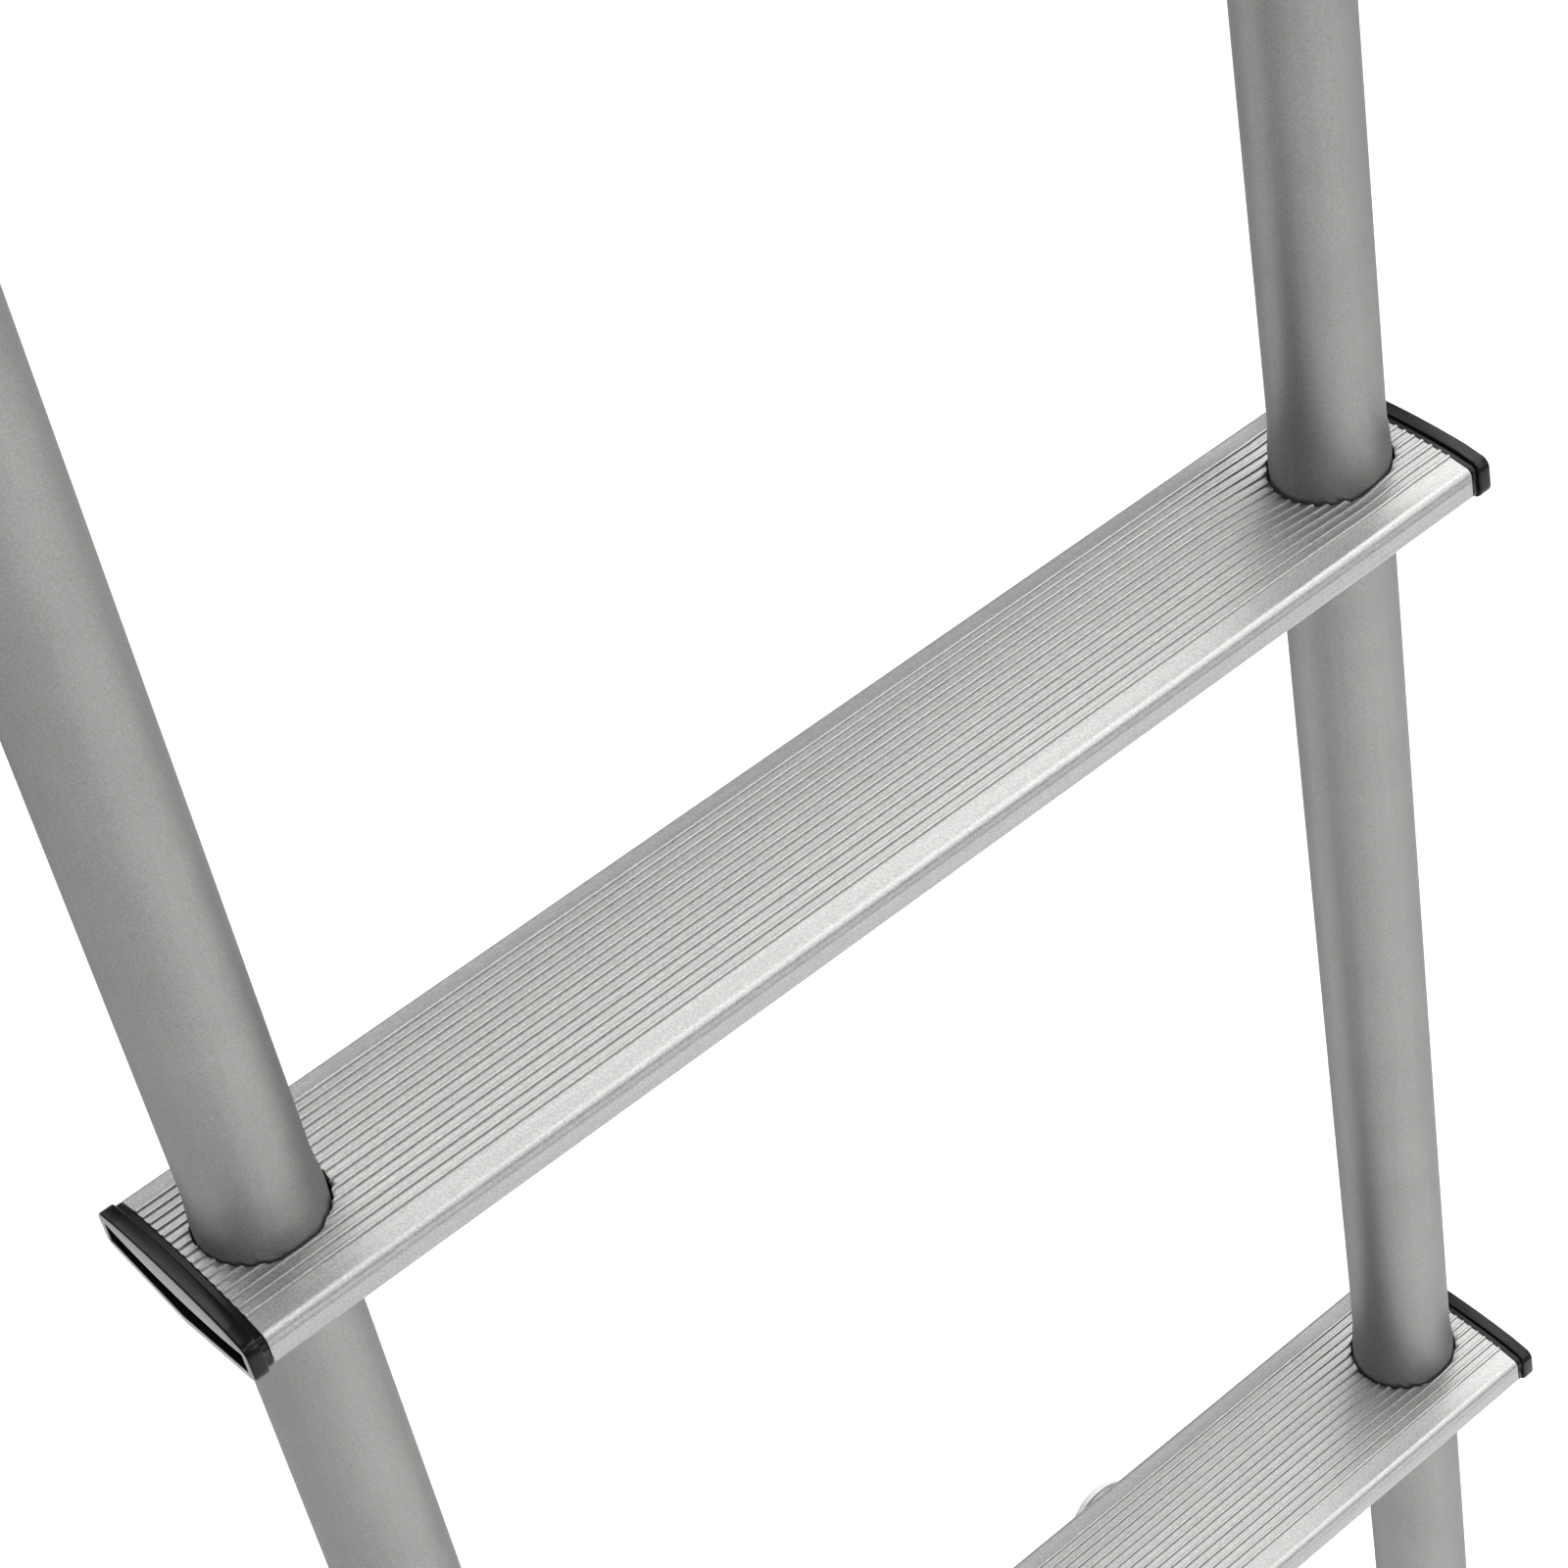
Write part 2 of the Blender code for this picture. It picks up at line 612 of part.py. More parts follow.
def build_screw(side, number, material):
    """A countersunk deck screw with a cross slot and a pointed end."""
    x, y = screw_spots()[number - 1]
    place = (SIDES[side] * RAIL_SPACING / 2 + x, y, PLATE_THICKNESS)
    head = SCREW_HEAD_DIAMETER / 2
    shank = SCREW_DIAMETER / 2
    profile = [
        (-GAP / 2, head),
        (-SCREW_HEAD_HEIGHT, shank),
        (-SCREW_LENGTH + SCREW_DIAMETER, shank),
        (-SCREW_LENGTH, SLOT_WIDTH / 2),
    ]
    screw = add_object(f"deck_screw_{side}_{number}", turned(profile, SMALL_SIDES, "Z"), material, place)
    for name, size_x, size_y in (("long", SLOT_LENGTH, SLOT_WIDTH), ("cross", SLOT_WIDTH, SLOT_LENGTH)):
        slot = box_between((-size_x / 2, -size_y / 2, -SLOT_DEPTH), (size_x / 2, size_y / 2, SLOT_DEPTH))
        tool = add_tool(f"slot_{side}_{number}_{name}", slot, place)
        combine(screw, tool, "DIFFERENCE")
    return screw


def build_ladder(pivot, nylon):
    tube = satin_aluminium_tube()
    tread = satin_aluminium_tread()
    cap = gloss_black_plastic()
    foot = grey_nylon()
    for side in SIDES:
        build_rail(side, tube, pivot)
        build_foot_plug(side, foot, pivot)
        build_arm_plug(side, nylon, pivot)
        build_sleeve(side, nylon, pivot)
    for number in range(1, TREAD_COUNT + 1):
        build_tread(number, tread, pivot)
        for side in SIDES:
            build_cap(number, side, cap, pivot)


def build_hinges(nylon):
    plate = stainless_plate()
    fastener = stainless_fastener()
    for side, out in SIDES.items():
        build_bracket(side, plate)
        build_bolt(side, fastener)
        build_nut(side, fastener)
        for position, sign in (("inner", -out), ("outer", out)):
            build_spacer(side, position, sign, nylon)
            build_washer(side, position, sign, fastener)
        for number in range(1, len(screw_spots()) + 1):
            build_screw(side, number, fastener)


clear_scene()
ladder_pivot = bpy.data.objects.new("ladder_pivot", None)
bpy.context.scene.collection.objects.link(ladder_pivot)
ladder_pivot.location = (0, 0, PIVOT_HEIGHT)
shared_nylon = black_nylon()
build_ladder(ladder_pivot, shared_nylon)
build_hinges(shared_nylon)
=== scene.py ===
from math import acos, atan, cos, exp, floor, hypot, pi, radians, sin, sqrt

import bmesh
import bpy
from mathutils import Matrix, Vector, noise


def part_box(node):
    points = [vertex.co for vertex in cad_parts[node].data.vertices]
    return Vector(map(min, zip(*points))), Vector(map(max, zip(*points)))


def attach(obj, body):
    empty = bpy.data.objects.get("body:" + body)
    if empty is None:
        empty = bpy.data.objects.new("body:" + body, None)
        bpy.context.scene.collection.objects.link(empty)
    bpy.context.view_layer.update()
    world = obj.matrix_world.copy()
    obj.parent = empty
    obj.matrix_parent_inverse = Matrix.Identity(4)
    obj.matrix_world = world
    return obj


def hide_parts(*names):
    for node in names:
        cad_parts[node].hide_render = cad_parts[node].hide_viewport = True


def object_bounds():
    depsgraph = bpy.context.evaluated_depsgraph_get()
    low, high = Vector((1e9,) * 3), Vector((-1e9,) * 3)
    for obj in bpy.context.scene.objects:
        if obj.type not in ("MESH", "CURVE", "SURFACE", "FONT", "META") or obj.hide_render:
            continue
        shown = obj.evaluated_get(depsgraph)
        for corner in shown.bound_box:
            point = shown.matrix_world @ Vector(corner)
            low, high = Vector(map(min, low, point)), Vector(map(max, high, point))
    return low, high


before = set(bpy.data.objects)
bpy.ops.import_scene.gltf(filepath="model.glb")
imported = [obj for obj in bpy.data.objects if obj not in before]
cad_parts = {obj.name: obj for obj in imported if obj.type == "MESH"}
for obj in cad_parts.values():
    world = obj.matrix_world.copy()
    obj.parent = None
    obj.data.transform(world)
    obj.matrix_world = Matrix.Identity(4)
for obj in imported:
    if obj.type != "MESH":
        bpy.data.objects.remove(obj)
cad_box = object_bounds()
MM = 0.001

# ---------------------------------------------------------------------------------------------
# The studio: a plain pale floor well below the ladder's feet, soft light from big panels and a
# pale surround. The camera looks down on the two lowest treads from outboard and to the left.

CAMERA_PLACE = Vector((-0.3148, -0.6844, -0.3687))
CAMERA_LOOKS = Vector((0.3877, 0.6287, -0.6741)).normalized()
CAMERA_TOP = Vector((0.5263, 0.4494, 0.7218))
CAMERA_LENS = 91.18
CAMERA_FILM = 36.0
FLOOR_DROP = 0.8
FLOOR_SIZE = 60.0
FLOOR_DARK = (0.90, 0.90, 0.90)
FLOOR_LIGHT = (0.93, 0.93, 0.93)
FLOOR_CLOUDS = 3.0
FAR_GLOW = 0.72
GLOW_STARTS = 2.4
GLOW_IS_FULL = 6.0
LIGHT_CENTRE = (0, -0.19, -1.0)
PANEL_REACH = 3.4
PANEL_SIZE = 1.85
POOL_HEIGHT = -1.15
HORIZON_LIGHT = (0.84, 0.84, 0.84)
OVERHEAD_LIGHT = (0.05, 0.05, 0.05)
HORIZON_ENDS = 0.12
OVERHEAD_STARTS = 0.34

camera_data = bpy.data.cameras.new("camera")
camera_data.lens = CAMERA_LENS
camera_data.sensor_width = CAMERA_FILM
camera_data.clip_start = 0.01
camera = bpy.data.objects.new("camera", camera_data)
bpy.context.scene.collection.objects.link(camera)
camera_right = CAMERA_LOOKS.cross(CAMERA_TOP).normalized()
camera_up = camera_right.cross(CAMERA_LOOKS)
camera_turn = Matrix((camera_right, camera_up, -CAMERA_LOOKS)).transposed()
camera.matrix_world = Matrix.Translation(CAMERA_PLACE) @ camera_turn.to_4x4()
bpy.context.scene.camera = camera
bpy.context.scene.view_settings.view_transform = "Standard"


def make_node(tree, kind, sockets=None, **settings):
    """One shader node; sockets maps an input's name to its value or to the output that feeds it."""
    made = tree.nodes.new("ShaderNode" + kind)
    for name, value in settings.items():
        setattr(made, name, value)
    for name, value in (sockets or {}).items():
        if isinstance(value, bpy.types.NodeSocket):
            tree.links.new(value, made.inputs[name])
        else:
            made.inputs[name].default_value = value
    return made


def blank_finish(name, roughness, metallic=0.0):
    """A new material with its shader, its node tree and the piece's own coordinates."""
    finish = bpy.data.materials.new(name)
    finish.use_nodes = True
    tree = finish.node_tree
    shader = tree.nodes["Principled BSDF"]
    shader.inputs["Roughness"].default_value = roughness
    shader.inputs["Metallic"].default_value = metallic
    return finish, tree, shader, make_node(tree, "TexCoord").outputs["Object"]


def tone_between(tree, amount, dark, light, low=0.3, high=0.7):
    """A colour that runs from dark to light as amount goes from low to high."""
    ramp = make_node(tree, "ValToRGB", {"Fac": amount})
    ramp.color_ramp.elements[0].position = low
    ramp.color_ramp.elements[1].position = high
    ramp.color_ramp.elements[0].color = (*dark, 1.0)
    ramp.color_ramp.elements[1].color = (*light, 1.0)
    return ramp.outputs["Color"]


def speckle(tree, place, per_metre, detail=2.0):
    """Noise with a set number of grains to the metre."""
    noise_node = make_node(tree, "TexNoise", {"Vector": place, "Scale": per_metre, "Detail": detail})
    return noise_node.outputs["Fac"]


def darkened_by(tree, base, veil):
    """The base colour times a veil's."""
    sockets = {"Fac": 1.0, "Color1": base, "Color2": veil}
    return make_node(tree, "MixRGB", sockets, blend_type="MULTIPLY").outputs["Color"]


def dress(tree, shader, colour, rough, bump):
    """Joins a finish's colour, roughness and bump to its shader."""
    tree.links.new(colour, shader.inputs["Base Color"])
    tree.links.new(rough.outputs["Result"], shader.inputs["Roughness"])
    tree.links.new(bump.outputs["Normal"], shader.inputs["Normal"])


def floor_paint():
    """Pale matt paint that glows a little further out, where the panels do not reach."""
    finish, tree, shader, place = blank_finish("pale_floor_paint", 0.9)
    colour = tone_between(tree, speckle(tree, place, FLOOR_CLOUDS), FLOOR_DARK, FLOOR_LIGHT)
    tree.links.new(colour, shader.inputs["Base Color"])
    shader.inputs["Specular IOR Level"].default_value = 0.0
    reach = make_node(tree, "VectorMath", {"Vector": place}, operation="LENGTH").outputs["Value"]
    span = {"From Min": GLOW_STARTS, "From Max": GLOW_IS_FULL, "To Max": FAR_GLOW}
    glow = make_node(tree, "MapRange", {"Value": reach, **span})
    shader.inputs["Emission Color"].default_value = (1.0, 1.0, 1.0, 1.0)
    tree.links.new(glow.outputs["Result"], shader.inputs["Emission Strength"])
    return finish


def lay_floor():
    bm = bmesh.new()
    bmesh.ops.create_grid(bm, x_segments=2, y_segments=2, size=FLOOR_SIZE / 2)
    mesh = bpy.data.meshes.new("studio_floor")
    bm.to_mesh(mesh)
    bm.free()
    mesh.materials.append(floor_paint())
    made = bpy.data.objects.new("studio_floor", mesh)
    bpy.context.scene.collection.objects.link(made)
    made.location = (0, 0, cad_box[0][2] - FLOOR_DROP)


def soft_panel(name, place, aim, size, brightness):
    """A soft light panel that faces a point; the camera doesn't see the panel itself."""
    data = bpy.data.lights.new(name, "AREA")
    data.shape = "SQUARE"
    data.size = size
    data.energy = brightness * pi * size * size
    made = bpy.data.objects.new(name, data)
    bpy.context.scene.collection.objects.link(made)
    made.location = place
    made.rotation_euler = (Vector(aim) - Vector(place)).to_track_quat("-Z", "Y").to_euler()
    made.visible_camera = False


def out_from_ladder(heading, reach):
    """A point on the floor plan, that far from the middle of the treads."""
    turn = radians(heading)
    return Vector((reach * cos(turn), LIGHT_CENTRE[1] + reach * sin(turn), 0))


def hang_panel(name, heading, elevation, brightness):
    """A panel overhead, facing the treads."""
    rise = radians(elevation)
    place = out_from_ladder(heading, PANEL_REACH * cos(rise))
    place.z = LIGHT_CENTRE[2] + PANEL_REACH * sin(rise)
    soft_panel(name, place, LIGHT_CENTRE, PANEL_SIZE, brightness)


def light_floor(name, heading, reach, size, brightness):
    """A panel low over the floor and facing it, so that the rails have a bright floor to mirror."""
    place = out_from_ladder(heading, reach)
    place.z = POOL_HEIGHT
    soft_panel(name, place, (place.x, place.y + 0.001, POOL_HEIGHT - 1), size, brightness)


def surround_light():
    """A surround that is pale at the horizon and dim overhead."""
    world = bpy.data.worlds.new("studio_surround")
    bpy.context.scene.world = world
    world.use_nodes = True
    tree = world.node_tree
    where = make_node(tree, "TexCoord").outputs["Generated"]
    height = make_node(tree, "SeparateXYZ", {"Vector": where}).outputs["Z"]
    colour = tone_between(tree, height, HORIZON_LIGHT, OVERHEAD_LIGHT, HORIZON_ENDS, OVERHEAD_STARTS)
    tree.links.new(colour, tree.nodes["Background"].inputs["Color"])
    tree.nodes["Background"].inputs["Strength"].default_value = 1.0


lay_floor()
surround_light()
light_floor("floor_light_right", 0, 1.7, 1.6, 2.1)
light_floor("floor_light_far", 60, 3.6, 2.4, 1.8)
light_floor("floor_light_left", 180, 1.7, 1.6, 1.15)
light_floor("floor_light_near", 280, 1.7, 1.6, 2.3)
hang_panel("panel_far_right", 20, 45, 4.2)
hang_panel("panel_far", 58, 50, 1.3)
hang_panel("panel_far_high", 58, 70, 2.2)
hang_panel("panel_far_left", 100, 45, 3.6)
hang_panel("panel_behind_camera", 240, 60, 5.1)
hang_panel("panel_near_right", 330, 60, 5.5)
hang_panel("panel_front", 300, 30, 4.2)
soft_panel("panel_low_left", (-0.77, 0.73, -1.95), LIGHT_CENTRE, 0.8, 0.8)

# ---------------------------------------------------------------------------------------------
# Rails: each is one 25.4 mm aluminium tube, bent back at its top to the deck hinge and at its foot
# to the hull. It is blasted and anodised satin grey, and swaged outwards where a tread grips it.

TUBE_DARK = (0.257, 0.254, 0.248)
TUBE_LIGHT = (0.345, 0.3405, 0.3325)
TUBE_GRAIN = 2300
TUBE_CLOUDS = 45
TUBE_DRAW_LINES = 900
TUBE_TINT = (0.45, 0.45, 0.45, 1.0)
WHITE = (1.0, 1.0, 1.0)
RAIL_RADIUS = 12.7 * MM
RAIL_WALL = 1.6 * MM
RAIL_BEND = 64 * MM
RAIL_SIDES = 96
RAIL_EDGE = 0.3 * MM
BEND_STEPS = 36
SWELL_MARGIN = 1.5 * MM
SWELL_FADE = 10 * MM
SWELL_STEPS = 36
SWAGE_RIPPLE = 0.07 * MM
RIPPLES_PER_METRE = 170
PLUG_OVERHANG = 5.2 * MM
SLEEVE_HOLE = 6.4 * MM
SIDES = {"left": -1, "right": 1}
TREAD_NUMBERS = (1, 2, 3, 4)

rail_low, rail_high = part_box("rail_right")
RAIL_X = (rail_low.x + rail_high.x) / 2
RAIL_SWELL = (rail_high.x - rail_low.x) / 2 - RAIL_RADIUS
RAIL_Y = rail_low.y + RAIL_RADIUS + RAIL_SWELL
ARM_END = rail_high.y
PIVOT_HEIGHT = rail_high.z - RAIL_RADIUS
FOOT_LEVEL = rail_low.z + RAIL_RADIUS
STANDOFF_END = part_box("foot_plug_right")[1].y - PLUG_OVERHANG
tread_boxes = {number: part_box(f"tread_{number}") for number in TREAD_NUMBERS}


def satin_tube():
    """Blasted, anodised tube: a fine grain, faint drawing lines along it and a soft cloudiness."""
    finish, tree, shader, place = blank_finish("satin_aluminium_tube", 0.42, 1.0)
    grain = speckle(tree, place, TUBE_GRAIN)
    cloud = speckle(tree, place, TUBE_CLOUDS, 3.0)
    stretched = make_node(tree, "Mapping", {"Vector": place, "Scale": (1.0, 1.0, 0.02)})
    drawn = speckle(tree, stretched.outputs["Vector"], TUBE_DRAW_LINES, 1.0)
    base = tone_between(tree, grain, TUBE_DARK, TUBE_LIGHT)
    veil = tone_between(tree, cloud, (0.93, 0.93, 0.93), WHITE)
    lines = tone_between(tree, drawn, (0.965, 0.965, 0.965), WHITE)
    base = darkened_by(tree, darkened_by(tree, base, veil), lines)
    rough = make_node(tree, "MapRange", {"Value": grain, "To Min": 0.46, "To Max": 0.58})
    bump = make_node(tree, "Bump", {"Height": grain, "Strength": 0.15, "Distance": 0.00005})
    dress(tree, shader, base, rough, bump)
    shader.inputs["Specular Tint"].default_value = TUBE_TINT
    return finish


def circle(radius, sides, turn=0.0):
    angles = [turn + 2 * pi * i / sides for i in range(sides)]
    return [(radius * cos(angle), radius * sin(angle)) for angle in angles]


def skin(rings, closed=False):
    """Skins a row of rings: flat ends, or joined end to end."""
    bm = bmesh.new()
    loops = [[bm.verts.new(point) for point in ring] for ring in rings]
    pairs = list(zip(loops, loops[1:]))
    if closed:
        pairs.append((loops[-1], loops[0]))
    else:
        bm.faces.new(loops[0])
        bm.faces.new(loops[-1])
    for first, second in pairs:
        for i in range(len(first)):
            j = (i + 1) % len(first)
            bm.faces.new((first[i], first[j], second[j], second[i]))
    bmesh.ops.recalc_face_normals(bm, faces=bm.faces)
    return bm


def shape(name, bm, crease=35):
    """The finished mesh of a bmesh, smooth but for its creases."""
    mesh = bpy.data.meshes.new(name)
    bm.to_mesh(mesh)
    bm.free()
    mesh.shade_smooth()
    mesh.set_sharp_from_angle(angle=radians(crease))
    return mesh


def set_out(name, mesh, place=(0, 0, 0)):
    """An object of that mesh at its place in the ladder."""
    made = bpy.data.objects.new(name, mesh)
    bpy.context.scene.collection.objects.link(made)
    made.location = place
    return made


def cut_out(piece, cutter, crease=35):
    """Cuts the cutter's shape out of the piece, and leaves no cutter behind."""
    hole = piece.modifiers.new("hole", "BOOLEAN")
    hole.operation = "DIFFERENCE"
    hole.solver = "EXACT"
    hole.object = cutter
    evaluated = piece.evaluated_get(bpy.context.evaluated_depsgraph_get())
    mesh = bpy.data.meshes.new_from_object(evaluated)
    piece.modifiers.clear()
    piece.data = mesh
    mesh.shade_smooth()
    mesh.set_sharp_from_angle(angle=radians(crease))
    bpy.data.objects.remove(cutter)


def give_finish(piece, finish):
    piece.data.materials.clear()
    piece.data.materials.append(finish)


def ease(amount):
    amount = max(0.0, min(1.0, amount))
    return amount * amount * (3 - 2 * amount)


def swell_share(z):
    """How far the tube is swollen at a height: 1 at a tread, 0 away from it."""
    nearest = 1.0
    for low, high in tread_boxes.values():
        away = abs(z - (low.z + high.z) / 2) - (high.z - low.z) / 2
        nearest = min(nearest, (away - SWELL_MARGIN) / SWELL_FADE)
    return 1 - ease(nearest)


def straight_heights():
    """Heights of the rings along the straight run, close together at each tread."""
    heights = []
    for low, high in tread_boxes.values():
        top = high.z + SWELL_MARGIN + SWELL_FADE
        bottom = low.z - SWELL_MARGIN - SWELL_FADE
        heights += [top + (bottom - top) * i / SWELL_STEPS for i in range(SWELL_STEPS + 1)]
    return heights


def rail_stations(bore):
    """(y, z, heading) of each ring, from the arm's end to the stand-off's end."""
    turns = [pi / 2 * i / BEND_STEPS for i in range(BEND_STEPS + 1)]
    edge = 0 if bore else RAIL_EDGE
    stations = [(ARM_END, PIVOT_HEIGHT, pi), (ARM_END - edge, PIVOT_HEIGHT, pi)][: 1 if bore else 2]
    for turn in turns:
        y = RAIL_Y + RAIL_BEND * (1 - sin(turn))
        stations.append((y, PIVOT_HEIGHT - RAIL_BEND * (1 - cos(turn)), pi + turn))
    if not bore:
        stations += [(RAIL_Y, z, 1.5 * pi) for z in straight_heights()]
    for turn in turns:
        y = RAIL_Y + RAIL_BEND * (1 - cos(turn))
        stations.append((y, FOOT_LEVEL + RAIL_BEND * (1 - sin(turn)), 1.5 * pi + turn))
    ends = [(STANDOFF_END - edge, FOOT_LEVEL, 2 * pi), (STANDOFF_END, FOOT_LEVEL, 2 * pi)]
    return stations + (ends[1:] if bore else ends)


def rail_rings(bore, side):
    stations = rail_stations(bore)
    rings = []
    for count, (y, z, heading) in enumerate(stations):
        share = 0.0 if bore else swell_share(z)
        radius = RAIL_RADIUS - RAIL_WALL if bore else RAIL_RADIUS + RAIL_SWELL * share
        if not bore and count in (0, len(stations) - 1):
            radius -= RAIL_EDGE
        ring = []
        for u, v in circle(1.0, RAIL_SIDES):
            spot = Vector((side * 0.5 + u * RAIL_RADIUS, v * RAIL_RADIUS, z))
            dent = SWAGE_RIPPLE * share * noise.noise(spot * RIPPLES_PER_METRE)
            reach = radius - abs(dent)
            out = Vector((u * reach, -sin(heading) * v * reach, cos(heading) * v * reach))
            ring.append(Vector((side * RAIL_X, y, z)) + out)
        rings.append(ring)
    return rings


def drill_rod(radius, reach, place):
    """A round cutter along X."""
    rings = [[Vector((x, u, v)) for u, v in circle(radius, RAIL_SIDES)] for x in (-reach, reach)]
    return set_out("cutter", shape("cutter", skin(rings)), place)


tube_finish = satin_tube()
for side, sign in SIDES.items():
    rings = rail_rings(False, sign) + rail_rings(True, sign)[::-1]
    rail = set_out(f"rail_tube_{side}", shape("rail_tube", skin(rings, closed=True)))
    cut_out(rail, drill_rod(SLEEVE_HOLE, 2 * RAIL_RADIUS, (sign * RAIL_X, 0, PIVOT_HEIGHT)))
    give_finish(rail, tube_finish)
    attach(rail, "ladder")
    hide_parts(f"rail_{side}")

# ---------------------------------------------------------------------------------------------
# Treads: each is a length of hollow aluminium extrusion with a crowned, ribbed top and a shallow V
# below. Its two holes are punched, and swaging the rail has drawn the top down beside some of them.

TREAD_DARK = (0.277, 0.2745, 0.270)
TREAD_LIGHT = (0.402, 0.3985, 0.392)
TREAD_GRAIN = 2100
TREAD_STREAKS = 700
TREAD_DEPTH = 51 * MM
TREAD_SIDE = 8 * MM
TREAD_CROWN = 1.7 * MM
TREAD_BELLY = 3.3 * MM
TREAD_WALL = 1.6 * MM
TREAD_CORNER = 1.8 * MM
TREAD_TILT = radians(1.7)
CORNER_STEPS = 8
RIB_COUNT = 16
RIB_PITCH = 2.55 * MM
RIB_HEIGHT = 0.5 * MM
RIB_SHAPE = ((0.5, 0.0), (0.475, 0.22), (0.42, 0.62), (0.33, 0.90), (0.18, 1.0), (0.0, 1.0))
RIB_WIDTH = 1.0 * MM
EDGE_LINE_DROP = 3.1 * MM
EDGE_LINE_WIDTH = 0.45 * MM
EDGE_LINE_PROUD = 0.05 * MM
HOLE_RADIUS = 13.6 * MM
HOLE_BURR = 0.35 * MM
HOLE_BITE = 0.42 * MM
BITES_PER_METRE = 330
TREAD_LIP = 3.4 * MM
DISH_SPREAD = 13 * MM
DISH_DEPTHS = {1: (0.4, 0.9), 2: (0.6, 0.5), 3: (0.15, 2.3), 4: (0.7, 1.2)}
FINE_STEP = 1.3 * MM
FINE_REACH = 42 * MM

CROWN_RADIUS = ((TREAD_DEPTH / 2) ** 2 + TREAD_CROWN**2) / (2 * TREAD_CROWN)
BELLY_SLOPE = atan(TREAD_BELLY / (TREAD_DEPTH / 2))


def satin_extrusion():
    """Blasted, anodised extrusion: a sparkling grain, with dull streaks along the die's direction."""
    finish, tree, shader, place = blank_finish("satin_aluminium_tread", 0.36, 1.0)
    grain = speckle(tree, place, TREAD_GRAIN)
    stretched = make_node(tree, "Mapping", {"Vector": place, "Scale": (0.02, 1.0, 1.0)})
    streak = speckle(tree, stretched.outputs["Vector"], TREAD_STREAKS, 1.0)
    base = tone_between(tree, grain, TREAD_DARK, TREAD_LIGHT)
    veil = tone_between(tree, streak, (0.92, 0.92, 0.92), WHITE)
    rough = make_node(tree, "MapRange", {"Value": grain, "To Min": 0.40, "To Max": 0.54})
    bump = make_node(tree, "Bump", {"Height": grain, "Strength": 0.25, "Distance": 0.00006})
    dress(tree, shader, darkened_by(tree, base, veil), rough, bump)
    return finish


def corner_arc(corner, before, after, radius, steps):
    """Points of the arc that rounds a corner between two neighbouring points."""
    to_before = (before - corner).normalized()
    to_after = (after - corner).normalized()
    half = acos(max(-1.0, min(1.0, to_before.dot(to_after)))) / 2
    centre = corner + (to_before + to_after).normalized() * (radius / sin(half))
    reach = radius * cos(half) / sin(half)
    start = corner + to_before * reach - centre
    end = corner + to_after * reach - centre
    return [centre + start.lerp(end, i / steps).normalized() * radius for i in range(steps + 1)]


def crown_height(y, inset, drop=0.0, dip=0.0):
    half = TREAD_DEPTH / 2 - inset
    arc = TREAD_CROWN - CROWN_RADIUS + sqrt((CROWN_RADIUS - inset) ** 2 - y**2)
    return arc - drop - dip * (1 - (y / half) ** 2)


def section_corners(inset, drop=0.0):
    """The section's five corners, front top first, moved in by inset."""
    half = TREAD_DEPTH / 2 - inset
    top = crown_height(half, inset, drop)
    lift = inset / cos(BELLY_SLOPE)
    side = -TREAD_SIDE + lift - TREAD_BELLY * inset / (TREAD_DEPTH / 2)
    belly = -TREAD_SIDE - TREAD_BELLY + lift
    return [Vector(p) for p in ((-half, top), (-half, side), (0, belly), (half, side), (half, top))]


def edge_line(inset):
    """The fine raised line along the front face, just under its rounded top edge."""
    face = -TREAD_DEPTH / 2 + inset
    proud = EDGE_LINE_PROUD if inset == 0 else 0.0
    half = EDGE_LINE_WIDTH / 2
    rows = ((half, 0), (half / 2, proud), (-half / 2, proud), (-half, 0))
    return [Vector((face - out, -EDGE_LINE_DROP + up)) for up, out in rows]


def crown_points(inset, drop, dip, ribbed):
    """The top from back to front, with its ribs or with the same points laid flat."""
    points = []
    for i in range(RIB_COUNT):
        middle = ((RIB_COUNT - 1) / 2 - i) * RIB_PITCH
        rows = RIB_SHAPE + tuple((-across, up) for across, up in RIB_SHAPE[-2::-1])
        for across, up in rows:
            y = middle + across * RIB_WIDTH
            lift = RIB_HEIGHT * up if ribbed else 0.0
            points.append(Vector((y, crown_height(y, inset, drop, dip) + lift)))
    return points


def section_outline(inset, drop=0.0, dip=0.0, ribbed=False):
    """The closed outline: down the front, under the belly, up the back and over the crown."""
    corners = section_corners(inset, drop)
    radius = max(TREAD_CORNER - inset, 0.4 * MM)
    outline = []
    for i in (0, 1, 3, 4):
        outline += corner_arc(corners[i], corners[i - 1], corners[(i + 1) % 5], radius, CORNER_STEPS)
        if i == 0:
            outline += edge_line(inset)
        if i == 1:
            outline.append(corners[2])
    return outline + crown_points(inset, drop, dip, ribbed)


def tilted(x, y, z):
    """A point of the tread's section, with its back edge lowered by the tilt."""
    return Vector((x, y * cos(TREAD_TILT) + z * sin(TREAD_TILT), z * cos(TREAD_TILT) - y * sin(TREAD_TILT)))


def dish(x, y, depths):
    """How far the top is drawn down: deepest beside a rail, on the side away from the tread's end."""
    drawn = 0.0
    for sign, depth in zip((-1, 1), depths):
        inward = -sign * (x - sign * RAIL_X)
        reach = hypot(inward, y)
        facing = ease((inward / max(reach, MM) + 0.45) / 0.9)
        away = max(reach - RAIL_RADIUS, 0.0)
        drawn += depth * MM * facing * exp(-((away / DISH_SPREAD) ** 1.5))
    return drawn * (1 - (2 * y / TREAD_DEPTH) ** 2) ** 1.6


